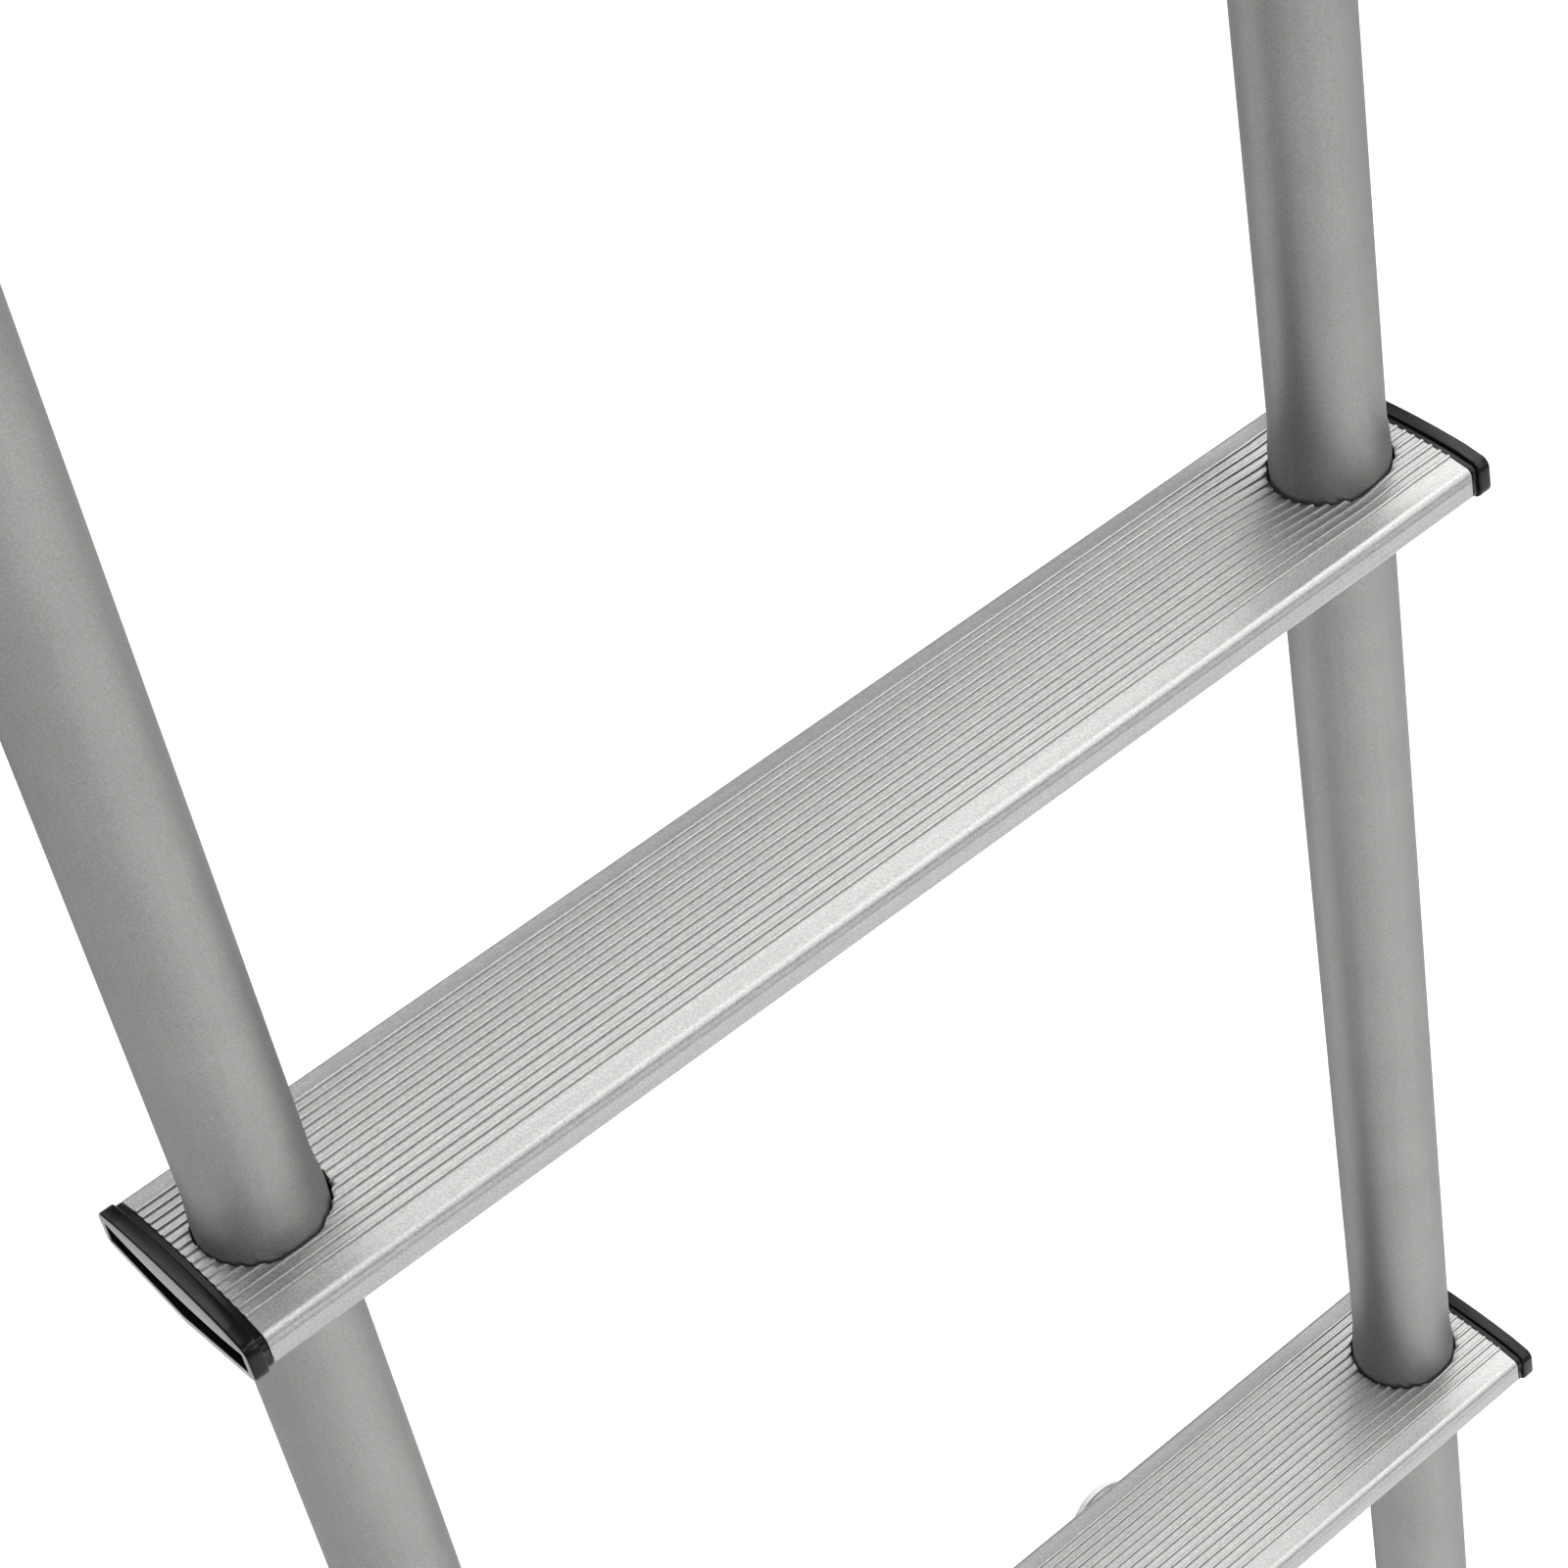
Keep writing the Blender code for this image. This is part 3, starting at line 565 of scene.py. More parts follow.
def tread_stations(half_length):
    """Where the section is repeated along the tread, close together beside the rails."""
    places = {-half_length, half_length, -FINE_REACH, 0.0, FINE_REACH}
    for sign in SIDES.values():
        steps = int(FINE_REACH / FINE_STEP)
        for i in range(-steps, steps + 1):
            x = sign * RAIL_X + i * FINE_STEP
            if abs(x) < half_length - FINE_STEP / 2:
                places.add(x)
    return sorted(places)


def tread_rings(stations, inset, depths):
    rings = []
    for x in stations:
        ring = []
        for y, z in section_outline(inset, ribbed=inset == 0):
            on_top = z > -TREAD_WALL - 0.3 * MM and abs(y) < TREAD_DEPTH / 2 - TREAD_WALL
            ring.append(tilted(x, y, z - dish(x, y, depths) if on_top else z))
        rings.append(ring)
    return rings


def punch(sign):
    """The round punch that makes one hole."""
    rings = [[Vector((u, v, z)) for u, v in circle(HOLE_RADIUS, RAIL_SIDES)] for z in (-20 * MM, 12 * MM)]
    return set_out("cutter", shape("cutter", skin(rings)), (sign * RAIL_X, 0, 0))


def raise_burr(mesh):
    """The punched edge is ragged: bitten away here, and turned up in a small burr there."""
    for vert in mesh.vertices:
        sign = 1 if vert.co.x > 0 else -1
        out = Vector((vert.co.x - sign * RAIL_X, vert.co.y))
        on_hole = abs(out.length - HOLE_RADIUS) < 0.05 * MM
        if on_hole and vert.co.z > crown_height(vert.co.y, 0) - TREAD_LIP:
            bite = noise.noise(vert.co * BITES_PER_METRE + Vector((3, 1, 0)))
            burr = max(0.0, noise.noise(vert.co * 4 * BITES_PER_METRE) - 0.25)
            out.normalize()
            facing = 0.5 - 0.5 * sign * out.x
            spread = HOLE_BITE * (0.15 + 0.7 * facing + bite) - HOLE_BURR * burr
            vert.co.x += out.x * spread
            vert.co.y += out.y * spread
            vert.co.z += HOLE_BURR * burr * 2 - HOLE_BITE * 0.3


def tread_mesh(half_length, depths):
    stations = tread_stations(half_length)
    rings = tread_rings(stations, 0.0, depths) + tread_rings(stations, TREAD_WALL, depths)[::-1]
    blank = set_out("blank", shape("tread_bar", skin(rings, closed=True), 32))
    for sign in SIDES.values():
        cut_out(blank, punch(sign), 32)
    mesh = blank.data
    bpy.data.objects.remove(blank)
    raise_burr(mesh)
    return mesh


outline_top = max(tilted(0, y, z).z for y, z in section_outline(0.0, ribbed=True))
tread_finish = satin_extrusion()
for number, (low, high) in tread_boxes.items():
    mesh = tread_mesh(high.x, DISH_DEPTHS[number])
    tread = set_out(f"tread_bar_{number}", mesh, (0, RAIL_Y, high.z - outline_top))
    give_finish(tread, tread_finish)
    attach(tread, "ladder")
    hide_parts(f"tread_{number}")

# ---------------------------------------------------------------------------------------------
# Tread caps: moulded gloss-black plastic, pushed into each end of a tread. A rim stands proud of
# the tread, a low shoulder meets it, and the end face has a stepped pocket under a sagging top edge.

CAP_BLACK = (0.0025, 0.0025, 0.0027)
# Paler colour for the cap's sharp edges: partly edge wear, partly a painted highlight standing in for
# glints.
CAP_WEAR_AND_GLINT = (0.014, 0.014, 0.0145)
CAP_RIPPLES = 350
CAP_SCUFFS = 1800
CAP_PROUD = 0.75 * MM
CAP_RIM = 3.4 * MM
CAP_SHOULDER = 1.3 * MM
CAP_SPIGOT = 2.2 * MM
CAP_EDGE = 1.45 * MM
CAP_POCKET_DROP = 0.5 * MM
CAP_POCKET_DIP = 3.6 * MM
CAP_ROUND = 0.45 * MM
CAP_ROUND_STEPS = 5
CAP_CLEARANCE = 0.3 * MM
POCKET_STEP = 0.55 * MM
POCKET_DEPTH = 3.5 * MM
PRONG_LENGTH = 14 * MM
PRONG_NEAR = 14.8 * MM
PRONG_FAR = 20.8 * MM
PRONG_HEIGHT = 4 * MM


def gloss_black_plastic():
    """Moulded black plastic: a glossy skin with a slight ripple, and sharp edges painted paler, partly as
    wear and partly as a painted highlight.
    """
    finish, tree, shader, place = blank_finish("gloss_black_plastic", 0.2)
    shader.inputs["Specular IOR Level"].default_value = 0.14
    ripple = speckle(tree, place, CAP_RIPPLES)
    scuffs = speckle(tree, place, CAP_SCUFFS, 4.0)
    edges = make_node(tree, "NewGeometry").outputs["Pointiness"]
    # Sharp edges are painted paler: a painted highlight for the glints on the rim's corners, with some edge
    # wear.
    base = tone_between(tree, edges, CAP_BLACK, CAP_WEAR_AND_GLINT, 0.53, 0.63)
    rough = make_node(tree, "MapRange", {"Value": scuffs, "To Min": 0.16, "To Max": 0.30})
    bump = make_node(tree, "Bump", {"Height": ripple, "Strength": 0.10, "Distance": 0.0001})
    dress(tree, shader, base, rough, bump)
    return finish


def rounded_step(depth, inset, steps, turn_in):
    """(depth, inset) rows round the rim's edge; turn_in is +1 at the face and -1 at the shoulder."""
    rows = []
    for i in range(steps + 1):
        angle = pi / 2 * i / steps
        if turn_in > 0:
            rows.append((depth + CAP_ROUND * (1 - sin(angle)), inset + CAP_ROUND * (1 - cos(angle))))
        else:
            rows.append((depth - CAP_ROUND * (1 - cos(angle)), inset + CAP_ROUND * (1 - sin(angle))))
    return rows if turn_in < 0 else rows[::-1]


def cap_rings(tip, sign):
    """Rings from the pocket's floor, over the rim and the shoulder, to the spigot's end."""
    pocket = [
        (POCKET_DEPTH, CAP_EDGE + 2.2 * POCKET_STEP),
        (POCKET_DEPTH * 0.62, CAP_EDGE + 2 * POCKET_STEP),
        (POCKET_DEPTH * 0.60, CAP_EDGE + 1.15 * POCKET_STEP),
        (POCKET_DEPTH * 0.26, CAP_EDGE + POCKET_STEP),
        (POCKET_DEPTH * 0.24, CAP_EDGE + 0.1 * POCKET_STEP),
        (0.12 * MM, CAP_EDGE),
        (0.0, CAP_EDGE - 0.15 * MM),
    ]
    outside = rounded_step(0.0, -CAP_PROUD, CAP_ROUND_STEPS, 1)
    outside += rounded_step(CAP_RIM, -CAP_PROUD, CAP_ROUND_STEPS, -1)[::-1]
    base = CAP_RIM + CAP_SHOULDER
    fit = TREAD_WALL + CAP_CLEARANCE
    inside = [(CAP_RIM, 0.0), (base, 0.0), (base, fit), (base + CAP_SPIGOT, fit)]
    rings = []
    for depth, inset in pocket:
        outline = section_outline(inset, CAP_POCKET_DROP, CAP_POCKET_DIP)
        rings.append([tilted(sign * (tip - depth), y, z) for y, z in outline])
    for depth, inset in outside + inside:
        rings.append([tilted(sign * (tip - depth), y, z) for y, z in section_outline(inset)])
    return rings


def add_block(bm, low, high, bevel):
    """A block with eased edges, added to a bmesh."""
    made = bmesh.ops.create_cube(bm, size=1.0)["verts"]
    size = Vector(high) - Vector(low)
    middle = (Vector(high) + Vector(low)) / 2
    bmesh.ops.transform(bm, matrix=Matrix.Translation(middle) @ Matrix.Diagonal((*size, 1)), verts=made)
    edges = list({edge for vert in made for edge in vert.link_edges})
    bmesh.ops.bevel(bm, geom=edges, offset=bevel, segments=2, affect="EDGES")


def cap_mesh(tip, sign):
    bm = skin(cap_rings(tip, sign))
    root = tip - CAP_RIM - CAP_SHOULDER - CAP_SPIGOT / 2
    for front in (-1, 1):
        along = sorted((sign * root, sign * (root - PRONG_LENGTH)))
        across = sorted((front * PRONG_NEAR, front * PRONG_FAR))
        middle = -TREAD_SIDE / 2
        low = (along[0], across[0], middle - PRONG_HEIGHT / 2)
        add_block(bm, low, (along[1], across[1], middle + PRONG_HEIGHT / 2), 0.4 * MM)
    return shape("tread_cap", bm, 38)


cap_finish = gloss_black_plastic()
for side, sign in SIDES.items():
    mesh = cap_mesh(abs(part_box(f"tread_cap_1_{side}")[0 if sign < 0 else 1].x), sign)
    for number, (low, high) in tread_boxes.items():
        cap = set_out(f"end_cap_{number}_{side}", mesh, (0, RAIL_Y, high.z - outline_top))
        give_finish(cap, cap_finish)
        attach(cap, "ladder")
        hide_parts(f"tread_cap_{number}_{side}")

# ---------------------------------------------------------------------------------------------
# Tube plugs: moulded nylon inserts that close the tubes. The grey foot plugs have a low dome that
# rests on the hull, and the black arm plugs are nearly flat. Each is pushed in as far as its flange.

NYLON_MOTTLE = 260
NYLON_PITS = 2400
PLUG_GRIP = 10.8 * MM
PLUG_WALL = 2.2 * MM
PLUG_INSERTS = {"foot": 14 * MM, "arm": 8 * MM}
PLUG_FLANGE = 1.4 * MM
PLUG_ROUND = 0.4 * MM
FOOT_DOME = 3.5 * MM
DOME_STEPS = 14
GATE_RADIUS = 1.6 * MM
GATE_DEPTH = 0.25 * MM
GAP = 0.3 * MM


def moulded_nylon(name, dark, light, roughness):
    """Moulded nylon: a faintly mottled, slightly pitted satin skin."""
    finish, tree, shader, place = blank_finish(name, roughness)
    mottle = speckle(tree, place, NYLON_MOTTLE, 3.0)
    pits = speckle(tree, place, NYLON_PITS)
    span = {"To Min": roughness - 0.06, "To Max": roughness + 0.08}
    rough = make_node(tree, "MapRange", {"Value": pits, **span})
    bump = make_node(tree, "Bump", {"Height": pits, "Strength": 0.2, "Distance": 0.00005})
    dress(tree, shader, tone_between(tree, mottle, dark, light), rough, bump)
    return finish


def turned(profile, axis, sides=72, closed=False):
    """A turned body: profile is a row of (distance along the axis, radius)."""
    rings = []
    for along, radius in profile:
        if axis == "X":
            rings.append([Vector((along, u, v)) for u, v in circle(radius, sides)])
        elif axis == "Y":
            rings.append([Vector((u, along, v)) for u, v in circle(radius, sides)])
        else:
            rings.append([Vector((u, v, along)) for u, v in circle(radius, sides)])
    return skin(rings, closed)


def plug_profile(kind):
    """From the cup's floor inside the tube, out over the flange, to the middle of the face."""
    inner = PLUG_GRIP - PLUG_WALL
    front = GAP + PLUG_FLANGE
    rows = [(0.0, inner), (-PLUG_INSERTS[kind], inner), (-PLUG_INSERTS[kind], PLUG_GRIP - PLUG_ROUND)]
    rows += [(-PLUG_INSERTS[kind] + PLUG_ROUND, PLUG_GRIP), (GAP, PLUG_GRIP)]
    rows += [(GAP, RAIL_RADIUS - PLUG_ROUND)]
    rows += [(GAP + PLUG_ROUND / 2, RAIL_RADIUS), (front - PLUG_ROUND, RAIL_RADIUS)]
    if kind == "foot":
        for i in range(1, DOME_STEPS):
            angle = pi / 2 * i / DOME_STEPS
            radius = RAIL_RADIUS * cos(angle)
            if radius > GATE_RADIUS * 1.3:
                rows.append((front - PLUG_ROUND + (FOOT_DOME + PLUG_ROUND) * sin(angle), radius))
        top = front + FOOT_DOME
    else:
        rows += [(front, RAIL_RADIUS - PLUG_ROUND), (front, GATE_RADIUS * 4)]
        top = front - GATE_DEPTH
        rows.append((top, GATE_RADIUS * 3.6))
    rows += [(top, GATE_RADIUS), (top - GATE_DEPTH, GATE_RADIUS * 0.85)]
    return rows


black_nylon = moulded_nylon("black_nylon", (0.016, 0.016, 0.016), (0.026, 0.026, 0.027), 0.48)
grey_nylon = moulded_nylon("grey_nylon", (0.50, 0.50, 0.49), (0.60, 0.60, 0.59), 0.42)
for kind, finish, slot, end, height in (
    ("foot", grey_nylon, "grey_nylon", STANDOFF_END, FOOT_LEVEL),
    ("arm", black_nylon, "black_nylon", ARM_END, PIVOT_HEIGHT),
):
    mesh = shape(f"{kind}_plug", turned(plug_profile(kind), "Y"), 40)
    for side, sign in SIDES.items():
        plug = set_out(f"{kind}_insert_{side}", mesh, (sign * RAIL_X, end, height))
        give_finish(plug, finish)
        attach(plug, "ladder")
        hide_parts(f"{kind}_plug_{side}")

# ---------------------------------------------------------------------------------------------
# Hinge brackets: a stainless base plate with rounded corners and four countersunk holes, and two
# upright ears that are welded to it. The finish is brushed along the plate.

SHEET_DARK = (0.36, 0.353, 0.342)
SHEET_LIGHT = (0.47, 0.462, 0.448)
SHEET_SCRATCHES = 2600
SHEET_CLOUDS = 90
PLATE_THICKNESS = 3 * MM
PLATE_CORNER = 6 * MM
PLATE_EASE = 0.35 * MM
EAR_THICKNESS = 3 * MM
EAR_FOOT = 44 * MM
EAR_RADIUS = 13 * MM
EAR_INNER = 15.1 * MM
EAR_START = radians(20)
EAR_STEPS = 40
BOLT_HOLE = 4.3 * MM
SCREW_EDGE = 9 * MM
SCREW_HEAD = 5 * MM
SCREW_SHANK = 2.5 * MM
SINK_DEPTH = 2.6 * MM
WELD_RADIUS = 1.5 * MM
WELD_RIPPLE = 0.22 * MM
WELD_RIPPLES = 21

plate_low, plate_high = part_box("hinge_bracket_right")
PLATE_HALF_X = (plate_high.x - plate_low.x) / 2
PLATE_HALF_Y = (plate_high.y - plate_low.y) / 2


def brushed_stainless():
    """Brushed stainless sheet: long fine scratches along the plate over a cloudy ground."""
    finish, tree, shader, place = blank_finish("brushed_stainless", 0.3, 1.0)
    stretched = make_node(tree, "Mapping", {"Vector": place, "Scale": (1.0, 0.03, 1.0)})
    brushed = speckle(tree, stretched.outputs["Vector"], SHEET_SCRATCHES, 3.0)
    cloud = speckle(tree, place, SHEET_CLOUDS, 3.0)
    base = tone_between(tree, brushed, SHEET_DARK, SHEET_LIGHT)
    veil = tone_between(tree, cloud, (0.92, 0.92, 0.92), WHITE)
    rough = make_node(tree, "MapRange", {"Value": brushed, "To Min": 0.24, "To Max": 0.40})
    bump = make_node(tree, "Bump", {"Height": brushed, "Strength": 0.2, "Distance": 0.00005})
    dress(tree, shader, darkened_by(tree, base, veil), rough, bump)
    return finish


def plate_outline(ease_in):
    signs = ((-1, -1), (1, -1), (1, 1), (-1, 1))
    half_x, half_y = PLATE_HALF_X - ease_in, PLATE_HALF_Y - ease_in
    corners = [Vector((x * half_x, y * half_y)) for x, y in signs]
    outline = []
    for i, corner in enumerate(corners):
        outline += corner_arc(corner, corners[i - 1], corners[(i + 1) % 4], PLATE_CORNER - ease_in, 14)
    return outline


def screw_spots():
    x = PLATE_HALF_X - SCREW_EDGE
    y = PLATE_HALF_Y - SCREW_EDGE
    return [(-x, -y), (-x, y), (x, -y), (x, y)]


def plate_piece(name, place):
    rows = [(0, PLATE_EASE), (PLATE_EASE, 0)]
    rows += [(PLATE_THICKNESS - PLATE_EASE, 0), (PLATE_THICKNESS, PLATE_EASE)]
    rings = [[Vector((p.x, p.y, z)) for p in plate_outline(inset)] for z, inset in rows]
    plate = set_out(name, shape("base_plate", skin(rings)), place)
    sink = [(PLATE_THICKNESS, SCREW_HEAD + GAP), (-GAP / 2, SCREW_HEAD + GAP)]
    sink += [(-SINK_DEPTH, SCREW_SHANK + GAP), (-2 * PLATE_THICKNESS, SCREW_SHANK + GAP)]
    for x, y in screw_spots():
        spot = (place[0] + x, place[1] + y, PLATE_THICKNESS)
        cut_out(plate, set_out("cutter", shape("cutter", turned(sink, "Z")), spot))
    return plate


def ear_outline(ease_in):
    """One ear, from inside the plate up round the pivot."""
    rise = PIVOT_HEIGHT
    angles = [EAR_START + (pi - 2 * EAR_START) * i / EAR_STEPS for i in range(EAR_STEPS + 1)]
    reach = EAR_RADIUS - ease_in
    crown = [(reach * cos(a), rise + reach * sin(a)) for a in angles]
    foot = EAR_FOOT / 2 - ease_in
    return [(-foot, PLATE_THICKNESS / 2), (foot, PLATE_THICKNESS / 2), *crown]


def ear_piece(name, sign, place):
    inner, outer = EAR_INNER, EAR_INNER + EAR_THICKNESS
    rows = [(inner, PLATE_EASE), (inner + PLATE_EASE, 0), (outer - PLATE_EASE, 0), (outer, PLATE_EASE)]
    rings = [[Vector((sign * x, y, z)) for y, z in ear_outline(inset)] for x, inset in rows]
    ear = set_out(name, shape("ear", skin(rings)), place)
    cut_out(ear, drill_rod(BOLT_HOLE, 2 * EAR_INNER, (place[0], place[1], PIVOT_HEIGHT)))
    return ear


def weld_mesh():
    """A fillet of weld along one side of an ear's foot, with the ripples of its passes."""
    rings = []
    steps = WELD_RIPPLES * 6
    half = EAR_FOOT / 2
    for i in range(steps + 1):
        y = -half + 2 * half * i / steps
        ripple = WELD_RIPPLE * abs(sin(pi * WELD_RIPPLES * i / steps))
        taper = min(1.0, 0.25 + 6 * (half - abs(y)) / half)
        reach = (WELD_RADIUS + ripple) * taper
        arc = [(reach * cos(a), reach * sin(a)) for a in [pi / 2 * k / 8 for k in range(9)]]
        rings.append([Vector((x, y, z)) for x, z in [(-0.2 * MM, -0.2 * MM), *arc]])
    return shape("weld_bead", skin(rings), 60)


bracket_finish = brushed_stainless()
bead = weld_mesh()
for side, sign in SIDES.items():
    place = (sign * RAIL_X, 0, 0)
    parts = [plate_piece(f"base_plate_{side}", place)]
    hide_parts(f"hinge_bracket_{side}")
    for position, facing in (("inner", -sign), ("outer", sign)):
        parts.append(ear_piece(f"ear_{side}_{position}", facing, place))
        outer = place[0] + facing * (EAR_INNER + EAR_THICKNESS)
        weld = set_out(f"weld_{side}_{position}", bead.copy(), (outer, 0, PLATE_THICKNESS))
        weld.rotation_euler = (0, 0, 0 if facing > 0 else pi)
        parts.append(weld)
    for part in parts:
        give_finish(part, bracket_finish)
        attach(part, "deck_hinges")

# ---------------------------------------------------------------------------------------------
# Pivots: an M8 stainless bolt passes through both ears and a nylon sleeve in the rail's arm. Nylon
# spacers keep the rail off the ears, and a washer and a locking nut close it.

STEEL_DARK = (0.41, 0.403, 0.392)
STEEL_LIGHT = (0.52, 0.512, 0.497)
STEEL_MARKS = 1500
STEEL_CLOUDS = 160
BOLT_RADIUS = 4 * MM
HEX_FLATS = 13 * MM
HEAD_HEIGHT = 5.3 * MM
NUT_HEIGHT = 8 * MM
NUT_COLLAR = 2.5 * MM
BOLT_TAIL = 2 * MM
THREAD_LENGTH = 16 * MM
THREAD_PITCH = 1.25 * MM
THREAD_DEPTH = 0.6 * MM
THREAD_STEPS = 10
SLEEVE_RADIUS = 6.1 * MM
SLEEVE_HALF = 13.5 * MM
SPACER_RADIUS = 10 * MM
SPACER_THICKNESS = 1.0 * MM
WASHER_RADIUS = 8.25 * MM
WASHER_THICKNESS = 1.2 * MM
RING_EASE = 0.15 * MM
HEX_SIDES = 72

EAR_OUTER = EAR_INNER + EAR_THICKNESS
BOLT_SEAT = EAR_OUTER + WASHER_THICKNESS + 2 * GAP


def bright_stainless():
    """Machined stainless fastener: faint turning marks and small handling scratches."""
    finish, tree, shader, place = blank_finish("bright_stainless", 0.25, 1.0)
    marks = speckle(tree, place, STEEL_MARKS, 4.0)
    cloud = speckle(tree, place, STEEL_CLOUDS, 2.0)
    base = tone_between(tree, cloud, STEEL_DARK, STEEL_LIGHT)
    rough = make_node(tree, "MapRange", {"Value": marks, "To Min": 0.17, "To Max": 0.36})
    bump = make_node(tree, "Bump", {"Height": marks, "Strength": 0.1, "Distance": 0.00005})
    dress(tree, shader, base, rough, bump)
    return finish


def hex_ring(x, limit):
    """A ring on the hexagon, no further from the axis than limit, which turns its corners off."""
    ring = []
    for i in range(HEX_SIDES):
        angle = 2 * pi * i / HEX_SIDES
        off_flat = (angle % (pi / 3)) - pi / 6
        radius = min(HEX_FLATS / 2 / cos(off_flat), limit)
        ring.append(Vector((x, radius * cos(angle), radius * sin(angle))))
    return ring


def threaded_rings(ends, radius, pitch, depth, axis, sides=48, taper=None):
    """Rings along a right-hand thread from the first end to the second."""
    start, end = ends
    count = max(2, int(abs(end - start) / pitch * THREAD_STEPS))
    rings = []
    for k in range(count + 1):
        along = start + (end - start) * k / count
        full = taper(along) if taper else 1.0
        ring = []
        for i in range(sides):
            phase = along / pitch + i / sides
            groove = abs(2 * (phase - floor(phase)) - 1)
            reach = radius * full - depth * min(full, 1.0) * groove
            u = max(reach, 0.1 * MM) * cos(2 * pi * i / sides)
            v = max(reach, 0.1 * MM) * sin(2 * pi * i / sides)
            ring.append(Vector((along, u, v)) if axis == "X" else Vector((u, v, along)))
        rings.append(ring)
    return rings


def eased_ring(inner, outer, start, end, sign):
    """A flat ring along X with its edges eased."""
    rows = [(start + RING_EASE, inner), (start, inner + RING_EASE), (start, outer - RING_EASE)]
    rows += [(start + RING_EASE, outer), (end - RING_EASE, outer), (end, outer - RING_EASE)]
    rows += [(end, inner + RING_EASE), (end - RING_EASE, inner)]
    return turned([(sign * along, radius) for along, radius in rows], "X", closed=True)


def bolt_mesh(out):
    """Head on the outer side, threaded end through the nut on the inner side."""
    corner = HEX_FLATS / 2 / cos(pi / 6)
    top = BOLT_SEAT + HEAD_HEIGHT
    tail = -(BOLT_SEAT + NUT_HEIGHT + BOLT_TAIL)
    rings = [hex_ring(out * top, HEX_FLATS / 2 * 0.93), hex_ring(out * (top - 0.6 * MM), corner * 0.985)]
    rings += [hex_ring(out * (top - 0.9 * MM), corner), hex_ring(out * (BOLT_SEAT + 0.5 * MM), corner)]
    rings += [hex_ring(out * BOLT_SEAT, HEX_FLATS / 2 * 0.97)]
    bm = skin(rings)
    shank = threaded_rings((tail, tail + THREAD_LENGTH), BOLT_RADIUS, THREAD_PITCH, THREAD_DEPTH, "X", 48,
                           lambda x: min(1.0, 0.86 + (x - tail) / (1.2 * MM) * 0.14))
    plain = tail + THREAD_LENGTH + 0.5 * MM
    for x in (plain, BOLT_SEAT + 0.2 * MM):
        shank.append([Vector((x, u, v)) for u, v in circle(BOLT_RADIUS, 48)])
    bm_shank = skin([[Vector((out * p.x, p.y, p.z)) for p in ring] for ring in shank])
    mesh = bpy.data.meshes.new("shank")
    bm_shank.to_mesh(mesh)
    bm_shank.free()
    bm.from_mesh(mesh)
    bpy.data.meshes.remove(mesh)
    return shape("pivot_bolt", bm, 30)


def nut_mesh(inward):
    """The nut's steel: chamfered hexagon, rolled collar and threaded bore."""
    corner = HEX_FLATS / 2 / cos(pi / 6)
    hex_end = BOLT_SEAT + NUT_HEIGHT - NUT_COLLAR
    end = BOLT_SEAT + NUT_HEIGHT
    collar = HEX_FLATS / 2 - 0.3 * MM
    bore = BOLT_HOLE
    rows = [(BOLT_SEAT, HEX_FLATS / 2 * 0.97), (BOLT_SEAT + 0.5 * MM, corner), (hex_end - 0.5 * MM, corner)]
    rows += [(hex_end, HEX_FLATS / 2 * 0.98), (hex_end, collar), (end - 0.8 * MM, collar)]
    rows += [(end - 0.25 * MM, collar - 0.3 * MM), (end, collar - 0.8 * MM)]
    rows += [(end - 0.2 * MM, collar - 1.2 * MM)]
    rings = [hex_ring(inward * x, limit) for x, limit in rows]
    for x, radius in ((end - 0.5 * MM, bore + 0.9 * MM), (end - 1.9 * MM, bore + 0.9 * MM),
                      (end - 1.9 * MM, bore), (BOLT_SEAT + 0.5 * MM, bore), (BOLT_SEAT, bore + 0.4 * MM)):
        rings.append([Vector((inward * x, u, v)) for u, v in circle(radius, HEX_SIDES)])
    return shape("lock_nut", skin(rings, closed=True), 30)


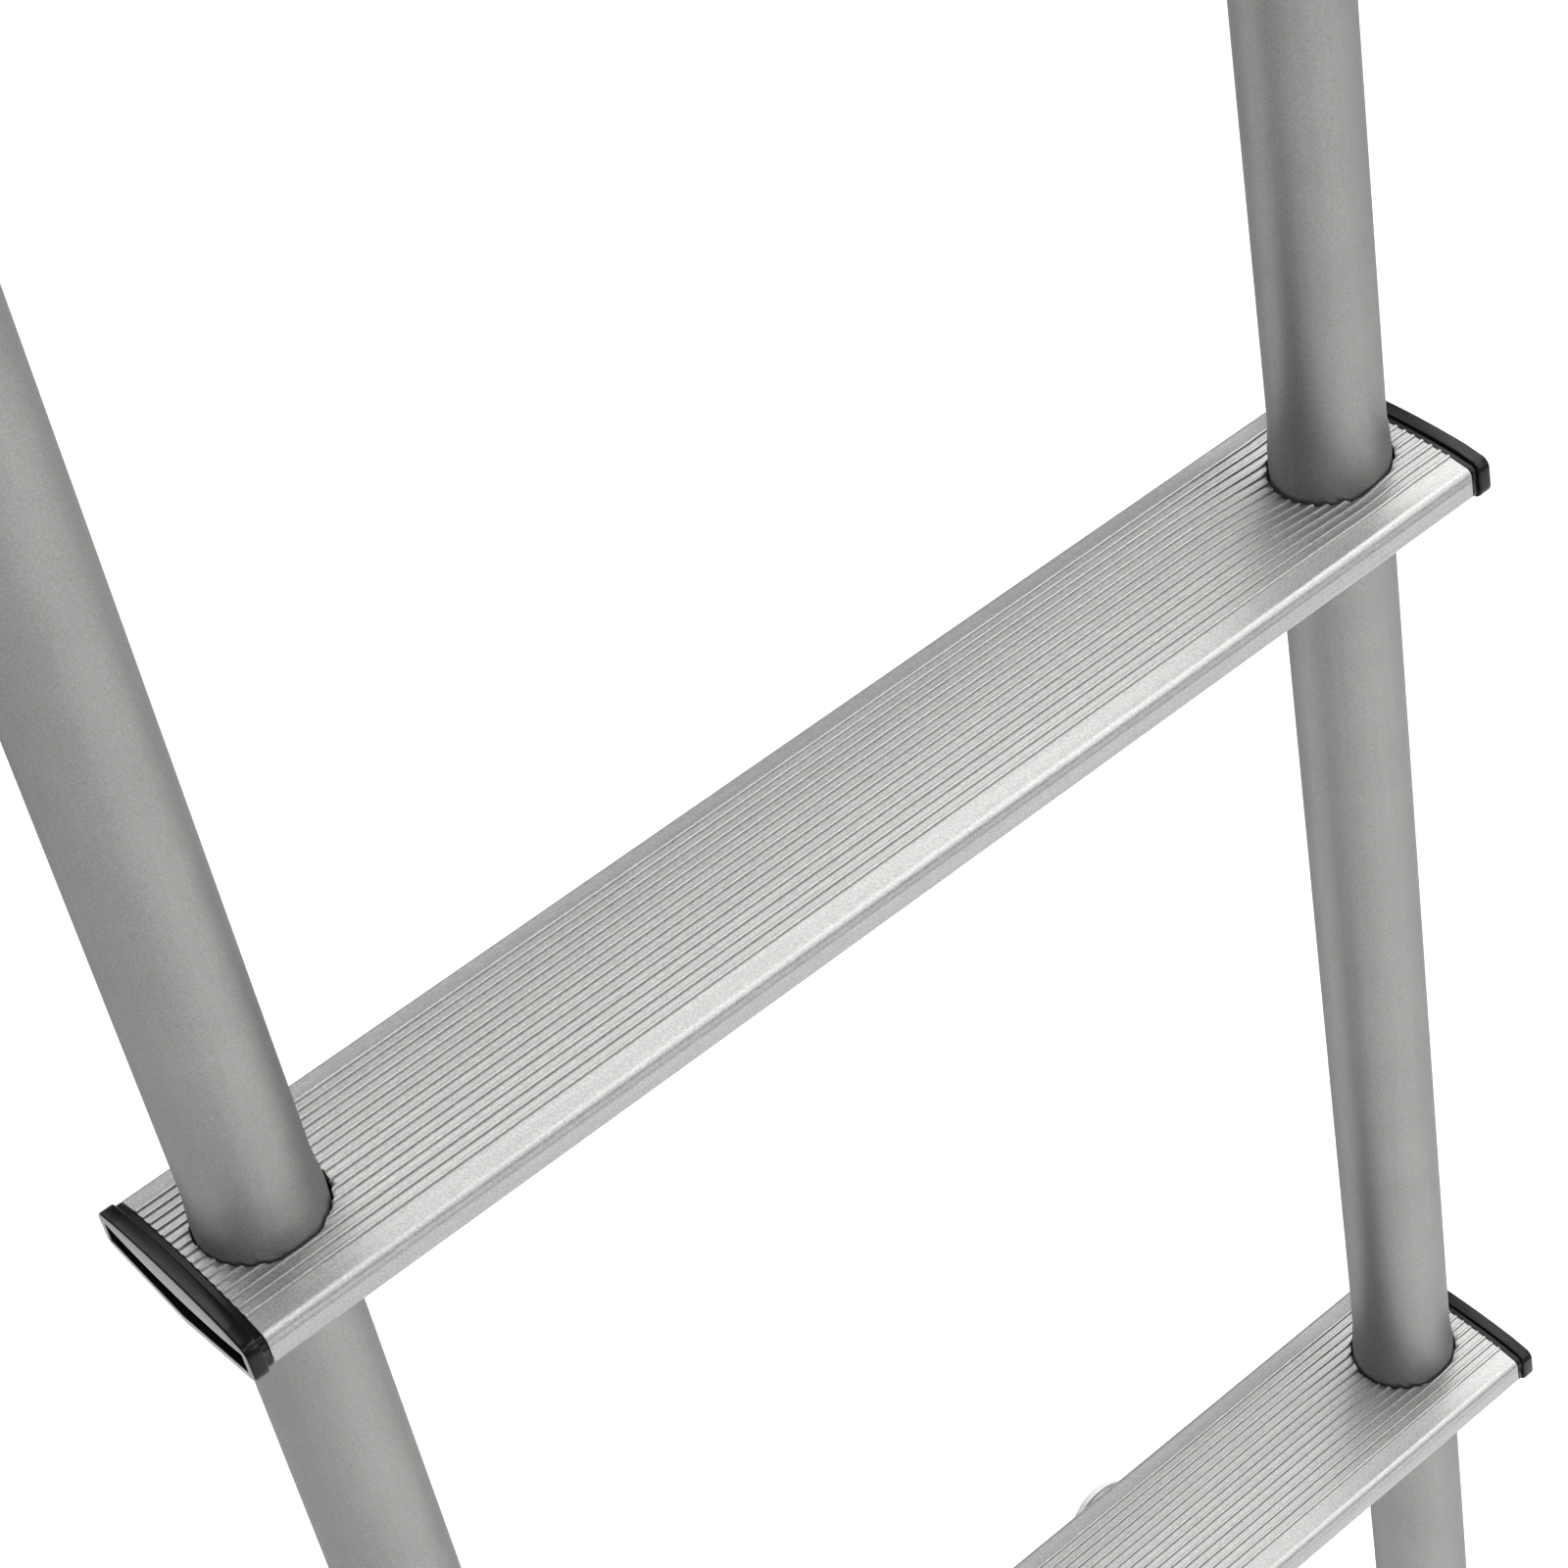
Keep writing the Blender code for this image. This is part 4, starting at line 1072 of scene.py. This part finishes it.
fastener_finish = bright_stainless()
for side, out in SIDES.items():
    hub = (out * RAIL_X, 0, PIVOT_HEIGHT)
    sleeve_ring = eased_ring(BOLT_HOLE, SLEEVE_RADIUS, -SLEEVE_HALF, SLEEVE_HALF, 1)
    nylon_end = BOLT_SEAT + NUT_HEIGHT
    nylon_bore, nylon_rim = BOLT_RADIUS + 0.02 * MM, BOLT_HOLE + 0.8 * MM
    nylon_span = (nylon_end - 1.7 * MM, nylon_end - 0.35 * MM)
    collar_ring = eased_ring(nylon_bore, nylon_rim, *nylon_span, -out)
    jobs = [
        (f"arm_sleeve_{side}", sleeve_ring, black_nylon, "black_nylon", "ladder", f"pivot_sleeve_{side}"),
        (f"nut_insert_{side}", collar_ring, black_nylon, "black_nylon", "deck_hinges", None),
    ]
    for position, sign in (("inner", -out), ("outer", out)):
        near, far = SLEEVE_HALF + GAP, SLEEVE_HALF + GAP + SPACER_THICKNESS
        disc = eased_ring(BOLT_HOLE, SPACER_RADIUS, near, far, sign)
        node = f"spacer_{side}_{position}"
        jobs.append((f"thrust_{node}", disc, black_nylon, "black_nylon", "deck_hinges", node))
        near, far = EAR_OUTER + GAP, EAR_OUTER + GAP + WASHER_THICKNESS
        disc = eased_ring(BOLT_HOLE, WASHER_RADIUS, near, far, sign)
        node = f"washer_{side}_{position}"
        jobs.append((f"flat_{node}", disc, fastener_finish, "stainless_fastener", "deck_hinges", node))
    for name, bm, finish, slot, body, node in jobs:
        piece = set_out(name, shape(name, bm), hub)
        give_finish(piece, finish)
        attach(piece, body)
        if node:
            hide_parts(node)
    hex_pieces = ((f"pivot_bolt_{side}", bolt_mesh(out)), (f"pivot_nut_{side}", nut_mesh(-out)))
    for name, mesh in hex_pieces:
        piece = set_out(f"hex_{name}", mesh, hub)
        give_finish(piece, fastener_finish)
        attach(piece, "deck_hinges")
        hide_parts(name)

# ---------------------------------------------------------------------------------------------
# Deck screws: stainless countersunk wood screws with a cross recess. Four go down through each
# bracket's plate into the deck.

SCREW_LENGTH = 30 * MM
SCREW_PITCH = 2.1 * MM
SCREW_CORE = 0.75 * MM
SCREW_POINT = 6 * MM
RECESS_LENGTH = 5.6 * MM
RECESS_WIDTH = 1.2 * MM
RECESS_DEPTH = 1.6 * MM


def screw_taper(z):
    """The thread's size at a height: full, then down to a point."""
    return max(0.08, min(1.0, (z + SCREW_LENGTH) / SCREW_POINT))


def screw_mesh():
    rings = [[Vector((u, v, z)) for u, v in circle(r, 48)] for z, r in (
        (-GAP / 2, SCREW_HEAD - 0.25 * MM), (-GAP / 2 - 0.25 * MM, SCREW_HEAD),
        (-SINK_DEPTH, SCREW_SHANK + 0.05 * MM), (-SINK_DEPTH - 2 * MM, SCREW_SHANK - 0.2 * MM))]
    thread = threaded_rings((-SINK_DEPTH - 2.4 * MM, -SCREW_LENGTH), SCREW_SHANK, SCREW_PITCH, SCREW_CORE,
                            "Z", 48, screw_taper)
    screw = set_out("blank", shape("deck_screw", skin(rings + thread), 30))
    for turn in (0, pi / 2):
        bm = bmesh.new()
        low = (-RECESS_LENGTH / 2, -RECESS_WIDTH / 2, -RECESS_DEPTH)
        add_block(bm, low, (RECESS_LENGTH / 2, RECESS_WIDTH / 2, RECESS_DEPTH), 0.25 * MM)
        bmesh.ops.rotate(bm, verts=bm.verts, matrix=Matrix.Rotation(turn, 3, "Z"))
        cut_out(screw, set_out("cutter", shape("cutter", bm)), 30)
    mesh = screw.data
    bpy.data.objects.remove(screw)
    return mesh


screw_shape = screw_mesh()
for side, sign in SIDES.items():
    for number, (x, y) in enumerate(screw_spots(), 1):
        screw = set_out(f"wood_screw_{side}_{number}", screw_shape, (sign * RAIL_X + x, y, PLATE_THICKNESS))
        give_finish(screw, fastener_finish)
        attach(screw, "deck_hinges")
        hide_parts(f"deck_screw_{side}_{number}")
